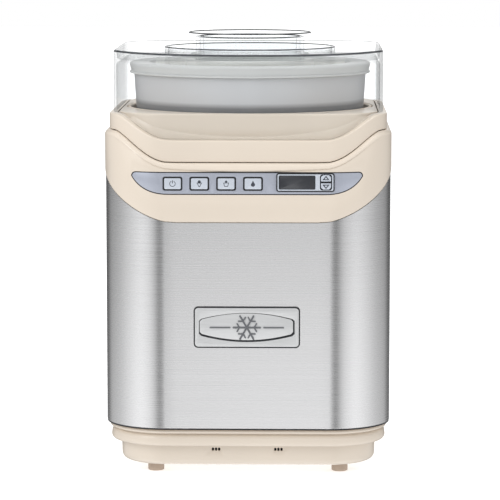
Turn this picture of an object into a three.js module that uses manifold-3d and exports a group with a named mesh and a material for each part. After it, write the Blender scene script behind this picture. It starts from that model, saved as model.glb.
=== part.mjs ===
// Electric ice cream maker with a lift-out freezer bowl, in millimetres.
// +Z is up and the front faces -Y. The origin is on the ground, under the centre of the body.

import * as THREE from 'three';
import { mergeVertices } from 'three/addons/utils/BufferGeometryUtils.js';
import Module from 'manifold-3d';

const wasm = await Module();
wasm.setup();

// ---------------------------------------------------------------- driving dimensions

const GAP = 0.3; // clearance between pieces that touch
const LATHE_STEPS = 24; // facets round a large turned piece
const SMALL_STEPS = 10; // facets round a small turned piece
const PIN_STEPS = 12; // facets round a screw, a post or a pin
const SINK = 0.4; // how far a part that is joined to another runs into it

const BODY = { half: 111, corner: 48 }; // outside of the steel sleeve, seen from above
const FLAT = BODY.half - BODY.corner; // half-length of each flat side

// Seams that run level across the front and rise round the front corners. `from` and `to` are
// distances along the plan from the front centre, and a skew below 1 makes the rise start early.
const SEAM = {
  trimEdge: { front: 198.5, back: 260, from: 58, to: 215, skew: 0.8 },
  trimTop: { front: 244.2, back: 267.4, from: 59, to: 116, skew: 1 },
  ringTop: { front: 261, back: 280, from: 59, to: 116, skew: 1 },
};

const BASE = {
  bottom: 7.5, floor: 3, wall: 3, bandHalf: 99.3, step: 23.7, beadHalf: 107.5, crease: 34,
  upperBeadHalf: 108.7, top: 37.5, tongue: 46,
};
const BASE_VENT = { radius: 0.9, spacing: 2.4, groupX: 24.2, height: 20.4, perGroup: 3 };
const FLOOR_SLOT = { width: 4, length: 46, spacing: 12, count: 5, x: 44, y: 20 };
const FOOT = { x: 71.9, y: 78, radius: 6.65, edge: 0.8, stud: 3.2, barb: 4.4, barbHeight: 3.2 };
const POST = { x: 84, y: 72, radius: 6 };
const BASE_SCREW = { shank: 1.8, head: 3.6, headHeight: 2, length: 22 };

const SLEEVE = { thickness: 1 };
const TRIM = { bulge: 0.6, wall: 4.6, tongue: 6, shoulder: 5.3 };
const DECK = {
  ringHalf: 107.9, wall: 2.6, ledge: 101.6, collarHalf: 100.8, collarInside: 98.9, top: 281,
  hole: 98.2, plate: 3,
};
const WELL = { inner: 94.8, outer: 97.2, floorBottom: 149, floorTop: 152 };

const LID = {
  half: 104.6, wall: 2.2, rimTop: 328.5, plateTop: 321, plateBottom: 318.8, ringOuter: 68, ringWall: 2.4,
};
const SPOUT = { bore: 41, wall: 2.2, top: 336.4, bottom: 309, flange: 47, flangeThickness: 1.6 };
const CAP = { radius: 49, edge: 0.8, bottom: 336.8, top: 340, neck: 39.6, neckWall: 2.2, neckBottom: 322 };

const BOWL = {
  rimOuter: 96, rimInner: 79.8, rimBottom: 307.5, rimTop: 316.5,
  shellTop: 92.5, shellFoot: 84, shellWall: 2.5, bottom: 165,
  linerTop: 80, linerFoot: 77, linerWall: 1.5, linerFloor: 186, linerFillet: 12,
  gelTop: 300, hubRadius: 26, hubBottom: 162, hubTop: 172, socketTop: 168.5,
};
const PADDLE = {
  ringInner: 44.6, ringOuter: 51, ringBottom: 306, top: 318.2, reach: 75.5, armWidth: 13,
  bottom: 188.4, barHeight: 15, corner: 9, peakHalf: 22, peak: 24, thickness: 4,
};

const DRIVE = {
  plateRadius: 40, plateBottom: 156, plateTop: 159, rimInner: 34, seat: 164.7,
  hubRadius: 11, hubBottom: 154.6,
  lobeRadius: 19, lobeDepth: 2.5, lobes: 6, lobeTop: 167.5, lobeGap: 0.7,
  shaftRadius: 6, shaftBottom: 112, shaftTop: 160,
};
const BUSH = { outer: 9, flange: 12.5, bottom: 146, flangeBottom: 152.3, top: 154 };
const GEARBOX = {
  width: 68, length: 106, corner: 30, centreY: 19, wall: 2.5, bottom: 109, floorTop: 111.5, split: 118,
  roof: 145.7, top: 148.7, earX: 37, earY: [-12, 50], earRadius: 6,
};
const GEAR_SCREW = { shank: 2, head: 3.8, headHeight: 2.6, length: 24 };
const FIRST_STAGE = { module: 1, pinionTeeth: 10, wheelTeeth: 40 };
const LAST_STAGE = { module: 1.25, pinionTeeth: 12, wheelTeeth: 45 };
const OUTPUT_GEAR = { bottom: 124, top: 132, hubTop: 140, hubRadius: 11 };
const IDLER = { bottom: 115, wheelTop: 121, top: 133, pin: 3 };
const PINION = { bottom: 114, top: 124 };
const MOTOR = {
  radius: 27, bottom: 44, top: 108.7, edge: 2, bell: 13, bellDrop: 5, shaft: 2, boreDepth: 14, shaftTop: 131,
};
const idlerY = stageDistance(LAST_STAGE);
const motorY = idlerY + stageDistance(FIRST_STAGE);

const PANEL = {
  top: 237, bottom: 220.2, tipX: 88.3, tipZ: 233.7, shoulderX: 84.5, floorX: 60, bendX: 80,
  front: 111.5, thickness: 2, pocketGap: 0.4,
};
const BUTTON = {
  width: 14.6, height: 10.2, corner: 1.4, z: 228.4, firstX: -56.7, pitch: 20.47, proud: 0.7,
  flangeRim: 1, flange: 1, stem: 6, stemLength: 1.6,
};
const DISPLAY = {
  x: 44.7, z: 229.5, width: 43.9, height: 13.8, proud: 0.9, lip: 1.2, depth: 4.3,
  lensX: 38.3, lensWidth: 27.4, lensHeight: 10.2, lensFront: 112.1, lensThickness: 1.5, lensCorner: 0.8,
};
const KEY = {
  x: 60.35, width: 8.7, height: 5.4, upZ: 232.75, downZ: 226.55, front: 112.4, back: 107.3,
  ear: 0.9, earThickness: 1, chamfer: 1.8,
};
const BOARD = {
  x: 1, z: 229.5, width: 142, height: 17, front: 101.7, thickness: 1.6,
  switchFront: 104.8, buttonSwitch: 6, keySwitch: { width: 5, height: 4 },
  pegX: [-67, 18.4], pegRadius: 2, pegFront: 105.3,
};
const BADGE = { width: 81.7, height: 32, corner: 3.5, z: 117.8, back: 111.3, front: 112.3 };
const EMBLEM = { back: 112.6, front: 113.2, arm: 11, bar: 1.6, branch: 4, rail: 22, railGap: 4 };
const POWER_BOARD = {
  x: -56, y: -16, z: 18, width: 64, depth: 46, thickness: 1.6, legRadius: 2.5, legInset: 4,
};
const TRANSFORMER = { x: -16, y: 2, width: 24, depth: 28, height: 20 };
const RELAY = { x: 12, y: 12, width: 18, depth: 12, height: 14 };
const TERMINALS = { x: 24, y: -12, width: 10, depth: 16, height: 8 };
const CAPACITOR = { x: 8, y: -10, radius: 6, height: 18 };
const GLAND = {
  x: -45, z: 62, bore: 3.5, body: 8, flange: 11, edge: 0.7, inner: 100, nut: 105.5, back: 113.2,
};

const BUTTON_NAMES = ['power_button', 'ice_cream_button', 'gelato_button', 'sorbet_button'];
const CORNER_NAMES = [
  ['front_left', -1, -1], ['front_right', 1, -1], ['rear_left', -1, 1], ['rear_right', 1, 1],
];

// ---------------------------------------------------------------- materials

const matter = (color, roughness, metalness = 0) =>
  new THREE.MeshStandardMaterial({ color, roughness, metalness });
const cream = matter('#e7dbcb', 0.42);
const steel = matter('#c4c6c9', 0.34, 1);
const rubber = matter('#b9a58e', 0.85);
const panelBlue = matter('#b4b9c4', 0.36, 0.4);
const buttonSilver = matter('#cdd1d9', 0.34, 0.4);
const darkGlass = matter('#4b4d52', 0.12);
const badgeSilver = matter('#d9dbdd', 0.28, 0.9);
const clearPlastic = matter('#eef4f6', 0.08);
clearPlastic.transparent = true;
clearPlastic.opacity = 0.3;
const bowlWhite = matter('#e4e5e4', 0.4);
const bowlGrey = matter('#c3c4c5', 0.36, 0.3);
const aluminium = matter('#c9cbcd', 0.38, 1);
const gelBlue = matter('#9cc7e0', 0.3);
const paddleWhite = matter('#f0f0ec', 0.4);
const gearWhite = matter('#ece8dc', 0.5);
const darkPlastic = matter('#3c3f43', 0.6);
const motorSteel = matter('#8f9498', 0.45, 1);
const brass = matter('#b08d4f', 0.4, 1);
const boardGreen = matter('#2f6b45', 0.6);

// ---------------------------------------------------------------- solids

// Merge shared corners and drop faces of no area, so that the mesh is closed.
function closedMesh(geometry) {
  const bare = geometry.clone();
  bare.deleteAttribute('normal');
  bare.deleteAttribute('uv');
  const merged = mergeVertices(bare, 1e-4);
  const corners = merged.index.array;
  const faces = [];
  for (let i = 0; i < corners.length; i += 3) {
    const [a, b, c] = corners.slice(i, i + 3);
    if (a !== b && b !== c && c !== a) faces.push(a, b, c);
  }
  merged.setIndex(faces);
  return merged;
}

function toManifold(geometry) {
  const mesh = closedMesh(geometry);
  const vertProperties = new Float32Array(mesh.attributes.position.array);
  const triVerts = new Uint32Array(mesh.index.array);
  return new wasm.Manifold(new wasm.Mesh({ numProp: 3, vertProperties, triVerts }));
}

function fromManifold(solid) {
  const { vertProperties, triVerts } = solid.getMesh();
  const geometry = new THREE.BufferGeometry();
  geometry.setAttribute('position', new THREE.BufferAttribute(vertProperties, 3));
  geometry.setIndex(new THREE.BufferAttribute(triVerts, 1));
  geometry.computeVertexNormals();
  return geometry;
}

const join = (first, ...others) =>
  fromManifold(others.reduce((solid, other) => solid.add(toManifold(other)), toManifold(first)));
const cut = (first, ...tools) =>
  fromManifold(tools.reduce((solid, tool) => solid.subtract(toManifold(tool)), toManifold(first)));
const common = (first, second) => fromManifold(toManifold(first).intersect(toManifold(second)));

// A solid turned about Z from [radius, z] points that run up its outside.
function turned(profile, steps = LATHE_STEPS) {
  const points = profile.map(([radius, z]) => new THREE.Vector2(radius, z));
  const geometry = closedMesh(new THREE.LatheGeometry(points, steps));
  geometry.rotateX(Math.PI / 2);
  return geometry;
}

// A ring turned about Z, whose profile closes on itself.
const turnedRing = (profile, steps) => turned([...profile, profile[0]], steps);

// An upright cylinder between two heights.
const rod = (radius, bottom, top, steps = SMALL_STEPS) =>
  turned([[0, bottom], [radius, bottom], [radius, top], [0, top]], steps);

// A flat shape raised from one height to another.
function raised(shape, bottom, top, curveSegments = 4) {
  const options = { depth: top - bottom, bevelEnabled: false, curveSegments };
  const geometry = new THREE.ExtrudeGeometry(shape, options);
  return geometry.translate(0, 0, bottom);
}

// A shape drawn in X and Z, seen from the front, between two distances in front of the centre.
const facing = (shape, back, front, curveSegments = 4) =>
  raised(shape, back, front, curveSegments).rotateX(Math.PI / 2);

function roundedRect(x, y, width, height, radius) {
  const [left, right, low, high] = [x - width / 2, x + width / 2, y - height / 2, y + height / 2];
  const shape = new THREE.Shape();
  shape.absarc(right - radius, low + radius, radius, -Math.PI / 2, 0);
  shape.absarc(right - radius, high - radius, radius, 0, Math.PI / 2);
  shape.absarc(left + radius, high - radius, radius, Math.PI / 2, Math.PI);
  shape.absarc(left + radius, low + radius, radius, Math.PI, 1.5 * Math.PI);
  return shape;
}

function block(x, y, z, width, depth, height) {
  return new THREE.BoxGeometry(width, depth, height).translate(x, y, z);
}

function piece(name, geometry, material, x = 0, y = 0, z = 0) {
  const mesh = new THREE.Mesh(geometry, material);
  mesh.name = name;
  mesh.position.set(x, y, z);
  return mesh;
}

// ---------------------------------------------------------------- lofts round the rounded square

// Points round the plan, anticlockwise from the front left. Each has an anchor on the core square,
// an outward normal, and its distance along the sleeve from the front centre.
function planPoints(cornerSteps, sideSteps) {
  const quarterLength = 2 * FLAT + BODY.corner * Math.PI / 2;
  const origin = new THREE.Vector2();
  const points = [];
  for (let quarter = 0; quarter < 4; quarter++) {
    const turn = quarter * Math.PI / 2;
    const add = (x, angle, along) => {
      const walked = quarter * quarterLength + along;
      const anchor = new THREE.Vector2(x, -FLAT).rotateAround(origin, turn);
      const normal = new THREE.Vector2(Math.sin(angle), -Math.cos(angle)).rotateAround(origin, turn);
      points.push({ anchor, normal, fromFront: Math.min(Math.abs(walked), 4 * quarterLength - walked) });
    };
    for (let i = 0; i < sideSteps; i++) {
      const x = FLAT * (2 * i / sideSteps - 1);
      add(x, 0, x);
    }
    for (let i = 0; i < cornerSteps; i++) {
      const angle = (i / cornerSteps) * Math.PI / 2;
      add(FLAT, angle, FLAT + BODY.corner * angle);
    }
  }
  return points;
}

// Height of a seam at a distance along the plan from the front centre, raised by `lift`.
function seam({ front, back, from, to, skew }, lift = 0) {
  return (fromFront) => {
    const part = THREE.MathUtils.clamp((fromFront - from) / (to - from), 0, 1);
    return front + (back - front) * (1 - Math.cos(Math.PI * part ** skew)) / 2 + lift;
  };
}

const heightAt = (height, point) => (typeof height === 'function' ? height(point.fromFront) : height);

// A rail at a constant half-width of the rounded square, and one on a circle.
function square(half, height) {
  return (point) => {
    const place = point.anchor.clone().addScaledVector(point.normal, half - FLAT);
    return [place.x, place.y, heightAt(height, point)];
  };
}

function circle(radius, height) {
  return (point) => {
    const place = point.anchor.clone().addScaledVector(point.normal, BODY.corner).setLength(radius);
    return [place.x, place.y, heightAt(height, point)];
  };
}

// Skin over neighbouring rails. A closed section makes a ring, and an open one is capped at the
// centre of its first and last rail. Rails run up the outside.
function loft(rails, plan, closed) {
  const count = plan.length;
  const positions = rails.flatMap((rail) => plan.flatMap((point) => rail(point)));
  const faces = [];
  const band = (low, high) => {
    for (let i = 0; i < count; i++) {
      const next = (i + 1) % count;
      faces.push(low + i, low + next, high + next, low + i, high + next, high + i);
    }
  };
  for (let i = 0; i + 1 < rails.length; i++) band(i * count, (i + 1) * count);
  const last = (rails.length - 1) * count;
  if (closed) {
    band(last, 0);
  } else {
    const centre = positions.length / 3;
    positions.push(0, 0, positions[2], 0, 0, positions[last * 3 + 2]);
    for (let i = 0; i < count; i++) {
      const next = (i + 1) % count;
      faces.push(centre, next, i, last + i, last + next, centre + 1);
    }
  }
  const geometry = new THREE.BufferGeometry();
  geometry.setAttribute('position', new THREE.Float32BufferAttribute(positions, 3));
  geometry.setIndex(faces);
  return geometry;
}

const FINE_PLAN = planPoints(5, 5);
const COARSE_PLAN = planPoints(5, 1);
const ringLoft = (rails, plan = FINE_PLAN) => loft(rails, plan, true);

// ---------------------------------------------------------------- base

function basePan() {
  const { bottom, floor, wall, bandHalf, step, beadHalf, crease, upperBeadHalf, top, tongue } = BASE;
  const sleeveInside = BODY.half - SLEEVE.thickness - 2 * GAP;
  let pan = loft([
    square(bandHalf - 5, bottom),
    square(bandHalf - 1.5, bottom + 1.5),
    square(bandHalf, bottom + 5),
    square(bandHalf + GAP, step),
    square(beadHalf - 2, step + 0.4),
    square(beadHalf - 0.6, step + 1.8),
    square(beadHalf, (step + crease) / 2),
    square(beadHalf - 2, crease),
    square(upperBeadHalf, crease + 1),
    square(upperBeadHalf, top - 1),
    square(sleeveInside, top),
    square(sleeveInside, tongue),
    square(sleeveInside - 2, tongue),
    square(beadHalf - wall, crease - 1),
    square(beadHalf - wall, step + wall),
    square(bandHalf - wall, step + 1),
    square(bandHalf - wall, bottom + floor + 3),
    square(bandHalf - wall - 3, bottom + floor),
  ], COARSE_PLAN, false);
  const holes = [];
  for (const [, sideX, sideY] of CORNER_NAMES) {
    holes.push(rod(FOOT.stud + GAP, 0, BASE.step).translate(sideX * FOOT.x, sideY * FOOT.y, 0));
    const screwHole = rod(BASE_SCREW.shank + GAP, 0, BASE.step, PIN_STEPS);
    holes.push(screwHole.translate(sideX * POST.x, sideY * POST.y, 0));
  }
  for (const side of [-1, 1]) {
    for (let i = 0; i < BASE_VENT.perGroup; i++) {
      const x = side * BASE_VENT.groupX + (i - (BASE_VENT.perGroup - 1) / 2) * BASE_VENT.spacing;
      const vent = rod(BASE_VENT.radius, bandHalf - 2 * wall, bandHalf + wall).rotateX(Math.PI / 2);
      holes.push(vent.translate(x, 0, BASE_VENT.height));
    }
    for (let i = 0; i < FLOOR_SLOT.count; i++) {
      const y = FLOOR_SLOT.y + i * FLOOR_SLOT.spacing - FLOOR_SLOT.spacing * (FLOOR_SLOT.count - 1) / 2;
      holes.push(block(side * FLOOR_SLOT.x, y, bottom, FLOOR_SLOT.length, FLOOR_SLOT.width, 4 * floor));
    }
  }
  pan = cut(pan, ...holes);
  return piece('base_pan', pan, cream);
}

function foot(name, sideX, sideY) {
  const { radius, edge, stud, barb, barbHeight } = FOOT;
  const floorTop = BASE.bottom + BASE.floor;
  const padTop = BASE.bottom - GAP;
  const profile = [
    [0, 0], [radius - edge, 0], [radius, edge], [radius, padTop - edge], [radius - edge, padTop],
    [stud, padTop], [stud, floorTop + GAP], [barb, floorTop + 1], [stud, floorTop + barbHeight], [0, floorTop + barbHeight],
  ];
  return piece(`foot_${name}`, turned(profile, SMALL_STEPS), rubber, sideX * FOOT.x, sideY * FOOT.y);
}

// A pan-head screw pointing up, with its head's seat at z = 0.
function screw({ shank, head, headHeight, length }) {
  return turned([
    [0, -headHeight], [head - 0.9, -headHeight], [head, -headHeight / 2], [head, 0],
    [shank, 0], [shank, length - shank], [0, length],
  ], PIN_STEPS);
}

function baseScrew(name, sideX, sideY) {
  const seat = BASE.bottom - GAP;
  return piece(`base_screw_${name}`, screw(BASE_SCREW), motorSteel, sideX * POST.x, sideY * POST.y, seat);
}

function post(name, sideX, sideY) {
  const bottom = BASE.bottom + BASE.floor + GAP;
  const top = DECK.top - DECK.plate - GAP;
  const bore = BASE_SCREW.shank + GAP;
  const profile = [
    [bore, bottom], [POST.radius, bottom], [POST.radius, top], [0, top],
    [0, BASE.bottom + BASE_SCREW.length + 2], [bore, BASE.bottom + BASE_SCREW.length + 1], [bore, bottom],
  ];
  return piece(`post_${name}`, turned(profile, PIN_STEPS), cream, sideX * POST.x, sideY * POST.y);
}

// ---------------------------------------------------------------- housing

function steelWrap() {
  const inside = BODY.half - SLEEVE.thickness;
  const sleeve = ringLoft([
    square(BODY.half, BASE.top + GAP),
    square(BODY.half, seam(SEAM.trimEdge, -GAP)),
    square(inside, seam(SEAM.trimEdge, -GAP)),
    square(inside, BASE.top + GAP),
  ]);
  const glandHole = rod(GLAND.body + GAP, -BODY.half - 5, -BODY.half + 5).rotateX(Math.PI / 2);
  return piece('steel_wrap', cut(sleeve, glandHole.translate(GLAND.x, 0, GLAND.z)), steel);
}

// Outline of the control panel seen from the front: straight above, swept up to a tip at each end.
function panelOutline(grow = 0) {
  const { top, bottom, tipX, tipZ, shoulderX, floorX, bendX } = PANEL;
  const shape = new THREE.Shape();
  shape.moveTo(-floorX, bottom - grow);
  shape.lineTo(floorX, bottom - grow);
  shape.quadraticCurveTo(bendX + grow, bottom - grow, tipX + grow, tipZ);
  shape.quadraticCurveTo(tipX + grow, top + grow, shoulderX, top + grow);
  shape.lineTo(-shoulderX, top + grow);
  shape.quadraticCurveTo(-tipX - grow, top + grow, -tipX - grow, tipZ);
  shape.quadraticCurveTo(-bendX - grow, bottom - grow, -floorX, bottom - grow);
  return shape;
}

// The part of a band round the body that lies behind the panel's outline.
function panelBand(inner, outer, grow) {
  const { top, bottom } = PANEL;
  const band = ringLoft([
    square(outer, bottom - 5), square(outer, top + 5), square(inner, top + 5), square(inner, bottom - 5),
  ]);
  return common(band, facing(panelOutline(grow), FLAT, BODY.half + 10));
}

const buttonX = (index) => BUTTON.firstX + index * BUTTON.pitch;

// A rounded prism that cuts a window through the front wall.
function frontWindow(x, z, width, height, corner) {
  return facing(roundedRect(x, z, width, height, corner), FLAT, BODY.half + 10);
}

function controlTrim() {
  const face = BODY.half + TRIM.bulge;
  const inside = BODY.half - TRIM.wall;
  const sleeveInside = BODY.half - SLEEVE.thickness - 2 * GAP;
  const low = (lift) => seam(SEAM.trimEdge, lift);
  const high = (lift) => seam(SEAM.trimTop, lift);
  const band = ringLoft([
    square(face - 0.4, low(0)),
    square(face, low(1)),
    square(face, high(-TRIM.shoulder)),
    square(face - 0.7, high(-3)),
    square(face - 1.9, high(-1)),
    square(DECK.ringHalf + 0.5, high(-GAP)),
    square(inside, high(-GAP)),
    square(inside, low(2)),
    square(sleeveInside - 2, low(0)),
    square(sleeveInside - 2, low(-TRIM.tongue)),
    square(sleeveInside, low(-TRIM.tongue)),
    square(sleeveInside, low(0)),
  ]);
  const pocketFloor = PANEL.front - PANEL.thickness - GAP;
  const cuts = [panelBand(pocketFloor, BODY.half + 5, PANEL.pocketGap)];
  for (let i = 0; i < BUTTON_NAMES.length; i++) {
    cuts.push(frontWindow(buttonX(i), BUTTON.z, BUTTON.width + 2.8, BUTTON.height + 2.8, BUTTON.corner));
  }
  const { x, z, width, height, lip } = DISPLAY;
  cuts.push(frontWindow(x, z, width - lip, height - lip, lip / 3));
  return piece('control_trim', cut(band, ...cuts), cream);
}

function topDeck() {
  const { ringHalf, wall, ledge, collarHalf, collarInside, top, hole, plate } = DECK;
  const inside = ringHalf - wall;
  const under = (lift) => seam(SEAM.ringTop, lift);
  const deck = ringLoft([
    square(ringHalf, seam(SEAM.trimTop, GAP)),
    square(ringHalf, under(-0.8)),
    square(ringHalf - 0.8, under(0)),
    square(ledge, under(0)),
    square(collarHalf, top - 0.8),
    square(collarHalf - 0.6, top),
    circle(hole, top),
    circle(hole, top - plate),
    square(collarInside, top - plate),
    square(collarInside + 0.4, under(-wall)),
    square(inside, under(-wall)),
    square(inside, seam(SEAM.trimTop, GAP)),
  ]);
  return piece('top_deck', deck, cream);
}

function bowlWell() {
  const { inner, outer, floorBottom, floorTop } = WELL;
  const shaftHole = BUSH.outer + GAP;
  const profile = [
    [shaftHole, floorBottom], [outer - 4, floorBottom], [outer, floorBottom + 4], [outer, DECK.top],
    [inner, DECK.top], [inner, floorTop + 3], [inner - 3, floorTop], [shaftHole, floorTop],
  ];
  return piece('bowl_well', turnedRing(profile), cream);
}

// ---------------------------------------------------------------- controls

function controlFascia() {
  const plate = panelBand(PANEL.front - PANEL.thickness, PANEL.front, 0);
  const windows = BUTTON_NAMES.map((_, i) =>
    frontWindow(buttonX(i), BUTTON.z, BUTTON.width + 2 * GAP, BUTTON.height + 2 * GAP, BUTTON.corner + GAP));
  const { x, z, width, height, lip } = DISPLAY;
  windows.push(frontWindow(x, z, width - 2 * lip + 2 * GAP, height - 2 * lip + 2 * GAP, BUTTON.corner));
  return piece('control_fascia', cut(plate, ...windows), panelBlue);
}

// A push button: cap, retaining flange behind the panel, and stem that meets the switch.
function modeButton(name, index) {
  const { width, height, corner, z, proud, flangeRim, flange, stem, stemLength } = BUTTON;
  const x = buttonX(index);
  const flangeFront = PANEL.front - PANEL.thickness - 2 * GAP;
  const flangeBack = flangeFront - flange;
  const flangeMiddle = flangeFront - flange / 2;
  const cap = facing(roundedRect(x, z, width, height, corner), flangeMiddle, PANEL.front + proud, 3);
  const rim = block(x, -flangeMiddle, z, width + 2 * flangeRim, flange, height + 2 * flangeRim);
  const peg = block(x, -(flangeBack + (SINK - stemLength) / 2), z, stem, stemLength + SINK, stem);
  return piece(name, join(cap, rim, peg), buttonSilver);
}

function displayBezel() {
  const { x, z, width, height, proud, lip, depth, lensX, lensWidth, lensHeight } = DISPLAY;
  const plateBack = PANEL.front + GAP;
  const plate = facing(roundedRect(x, z, width, height, BUTTON.corner), plateBack, PANEL.front + proud, 3);
  const plugBack = PANEL.front - depth + GAP;
  const plug = facing(roundedRect(x, z, width - 2 * lip, height - 2 * lip, 1), plugBack, plateBack + GAP, 3);
  const lensWindow = frontWindow(lensX, z, lensWidth + 2 * GAP, lensHeight + 2 * GAP, 1);
  const keyHeight = KEY.upZ - KEY.downZ + KEY.height + 2 * GAP;
  const keyWindow = frontWindow(KEY.x, (KEY.upZ + KEY.downZ) / 2, KEY.width + 2 * GAP, keyHeight, 1);
  return piece('display_bezel', cut(join(plate, plug), lensWindow, keyWindow), buttonSilver);
}

function displayLens() {
  const { lensX, z, lensWidth, lensHeight, lensFront, lensThickness, lensCorner } = DISPLAY;
  const outline = roundedRect(lensX, z, lensWidth, lensHeight, lensCorner);
  return piece('display_lens', facing(outline, lensFront - lensThickness, lensFront, 3), darkGlass);
}

// A timer key, with its two outer corners cut off and a retaining ear on each side.
function timerKey(name, z, outward) {
  const { x, width, height, front, back, ear, earThickness, chamfer } = KEY;
  const shape = new THREE.Shape([
    [-width / 2, -height / 2], [width / 2, -height / 2], [width / 2, height / 2 - chamfer],
    [width / 2 - chamfer, height / 2], [chamfer - width / 2, height / 2], [-width / 2, height / 2 - chamfer],
  ].map(([across, up]) => new THREE.Vector2(across, up)));
  const cap = facing(shape, back - SINK, front);
  const ears = block(0, earThickness / 2 - back, 0, width + 2 * ear, earThickness, height);
  const key = join(cap, ears).rotateY(outward > 0 ? 0 : Math.PI);
  return piece(name, key, buttonSilver, x, 0, z);
}

function controlBoard() {
  const { x, z, width, height, front, thickness, switchFront, buttonSwitch, keySwitch } = BOARD;
  const { pegX, pegRadius, pegFront } = BOARD;
  const board = block(x, -(front - thickness / 2), z, width, thickness, height);
  const back = front - SINK;
  const switchAt = (switchX, switchZ, switchWidth, switchHeight) =>
    block(switchX, -(back + switchFront) / 2, switchZ, switchWidth, switchFront - back, switchHeight);
  const parts = BUTTON_NAMES.map((_, i) => switchAt(buttonX(i), BUTTON.z, buttonSwitch, buttonSwitch));
  parts.push(...[KEY.upZ, KEY.downZ].map((keyZ) => switchAt(KEY.x, keyZ, keySwitch.width, keySwitch.height)));
  const moduleFront = DISPLAY.lensFront - DISPLAY.lensThickness - GAP;
  const { lensX, lensWidth, lensHeight, lensCorner } = DISPLAY;
  const moduleOutline = roundedRect(lensX, DISPLAY.z, lensWidth - 1, lensHeight - 1, lensCorner);
  parts.push(facing(moduleOutline, back, moduleFront, 2));
  parts.push(...pegX.map((at) => rod(pegRadius, back, pegFront).rotateX(Math.PI / 2).translate(at, 0, z)));
  return piece('control_board', join(board, ...parts), boardGreen);
}

// ---------------------------------------------------------------- badge

function badgePlate() {
  const outline = roundedRect(0, BADGE.z, BADGE.width, BADGE.height, BADGE.corner);
  return piece('badge_plate', facing(outline, BADGE.back, BADGE.front), badgeSilver);
}

// A six-armed snowflake between two short rails.
function badgeEmblem() {
  const { back, front, arm, bar, branch, rail, railGap } = EMBLEM;
  const depth = front - back;
  const bars = [];
  for (let i = 0; i < 6; i++) {
    const angle = i * Math.PI / 3;
    bars.push(block(arm / 2, 0, 0, arm, depth, bar).rotateY(angle));
    for (const side of [-1, 1]) {
      const twig = block(branch / 2, 0, 0, branch, depth, bar * 0.8).rotateY(side * Math.PI / 3);
      bars.push(twig.translate(arm * 0.5, 0, 0).rotateY(angle));
    }
  }
  for (const side of [-1, 1]) bars.push(block(side * (arm + rail / 2 - railGap / 2), 0, 0, rail, depth, bar));
  return piece('badge_emblem', join(...bars), badgeSilver, 0, -(back + front) / 2, BADGE.z);
}

// ---------------------------------------------------------------- lid

function lid() {
  const { half, wall, rimTop, plateTop, plateBottom, ringOuter, ringWall } = LID;
  const inside = half - wall;
  const hole = SPOUT.bore + SPOUT.wall + 2 * GAP;
  const foot = seam(SEAM.ringTop, 2 * GAP);
  const shell = ringLoft([
    square(half, foot),
    square(half, rimTop - 2),
    square(half - 0.6, rimTop - 0.6),
    square(half - 1.6, rimTop),
    square(inside - 0.4, rimTop - 0.3),
    square(inside - 1, plateTop),
    circle(ringOuter + 0.6, plateTop),
    circle(ringOuter, rimTop),
    circle(ringOuter - ringWall, rimTop),
    circle(ringOuter - ringWall, plateTop),
    circle(hole, plateTop),
    circle(hole, plateBottom),
    square(inside - 2, plateBottom),
    square(inside, plateBottom - 2),
    square(inside, foot),
  ]);
  return piece('lid', shell, clearPlastic);
}

// The pouring spout, whose flange is bonded to the lid's plate.
function lidSpout() {
  const { bore, wall, top, bottom, flange, flangeThickness } = SPOUT;
  const outer = bore + wall;
  const seat = LID.plateTop + GAP;
  const profile = [
    [bore, bottom], [outer, bottom], [outer, seat], [flange, seat], [flange, seat + flangeThickness],
    [outer, seat + flangeThickness], [outer, top], [bore, top],
  ];
  return piece('lid_spout', turnedRing(profile), clearPlastic);
}

function spoutCap() {
  const { radius, edge, bottom, top, neck, neckWall, neckBottom } = CAP;
  const cap = turned([
    [0, bottom + 0.4], [neck - neckWall, bottom + 0.4], [neck - neckWall, neckBottom], [neck, neckBottom],
    [neck, bottom], [radius - edge, bottom], [radius, bottom + edge], [radius, top - edge], [radius - edge, top],
    [0, top],
  ]);
  return piece('spout_cap', cap, clearPlastic);
}

// ---------------------------------------------------------------- freezer bowl and paddle

// Outline with round lobes, shared by the turntable's boss and the bowl's socket.
function lobedShape(grow) {
  const steps = 4 * DRIVE.lobes;
  const points = [];
  for (let i = 0; i < steps; i++) {
    const angle = i * 2 * Math.PI / steps;
    const radius = DRIVE.lobeRadius + grow + DRIVE.lobeDepth * Math.cos(DRIVE.lobes * angle);
    points.push(new THREE.Vector2(radius * Math.cos(angle), radius * Math.sin(angle)));
  }
  return new THREE.Shape(points);
}

function bowlOuter() {
  const { shellTop, shellFoot, shellWall, bottom, rimBottom, hubRadius, hubBottom, hubTop, socketTop } = BOWL;
  const top = rimBottom - GAP;
  const floor = bottom + shellWall;
  const shell = turned([
    [0, hubBottom], [hubRadius, hubBottom], [hubRadius, bottom], [shellFoot - 7, bottom], [shellFoot - 2, bottom + 3],
    [shellFoot, bottom + 8], [shellTop, top], [shellTop - shellWall, top], [shellFoot - shellWall, bottom + 8],
    [shellFoot - 4, floor + 2], [shellFoot - 8, floor], [hubRadius, floor], [hubRadius, hubTop], [0, hubTop],
  ]);
  const socket = raised(lobedShape(DRIVE.lobeGap), hubBottom - 1, socketTop);
  return piece('bowl_outer', cut(shell, socket), bowlGrey);
}

// Inside of the liner, grown outwards by `grow`, from the top down to the axis.
function linerProfile(top, grow) {
  const { linerTop, linerFoot, linerFloor, linerFillet } = BOWL;
  const side = linerFoot + grow;
  const floor = linerFloor - grow;
  const bend = linerFillet + grow;
  const points = [[linerTop + grow, top]];
  for (let i = 0; i <= 3; i++) {
    const angle = i * Math.PI / 6;
    points.push([side - bend + bend * Math.cos(angle), floor + bend - bend * Math.sin(angle)]);
  }
  return [...points, [0, floor]];
}

function bowlLiner() {
  const top = BOWL.rimBottom - GAP;
  const profile = [...linerProfile(top, BOWL.linerWall).reverse(), ...linerProfile(top, 0)];
  return piece('bowl_liner', turned(profile), aluminium);
}

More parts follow.
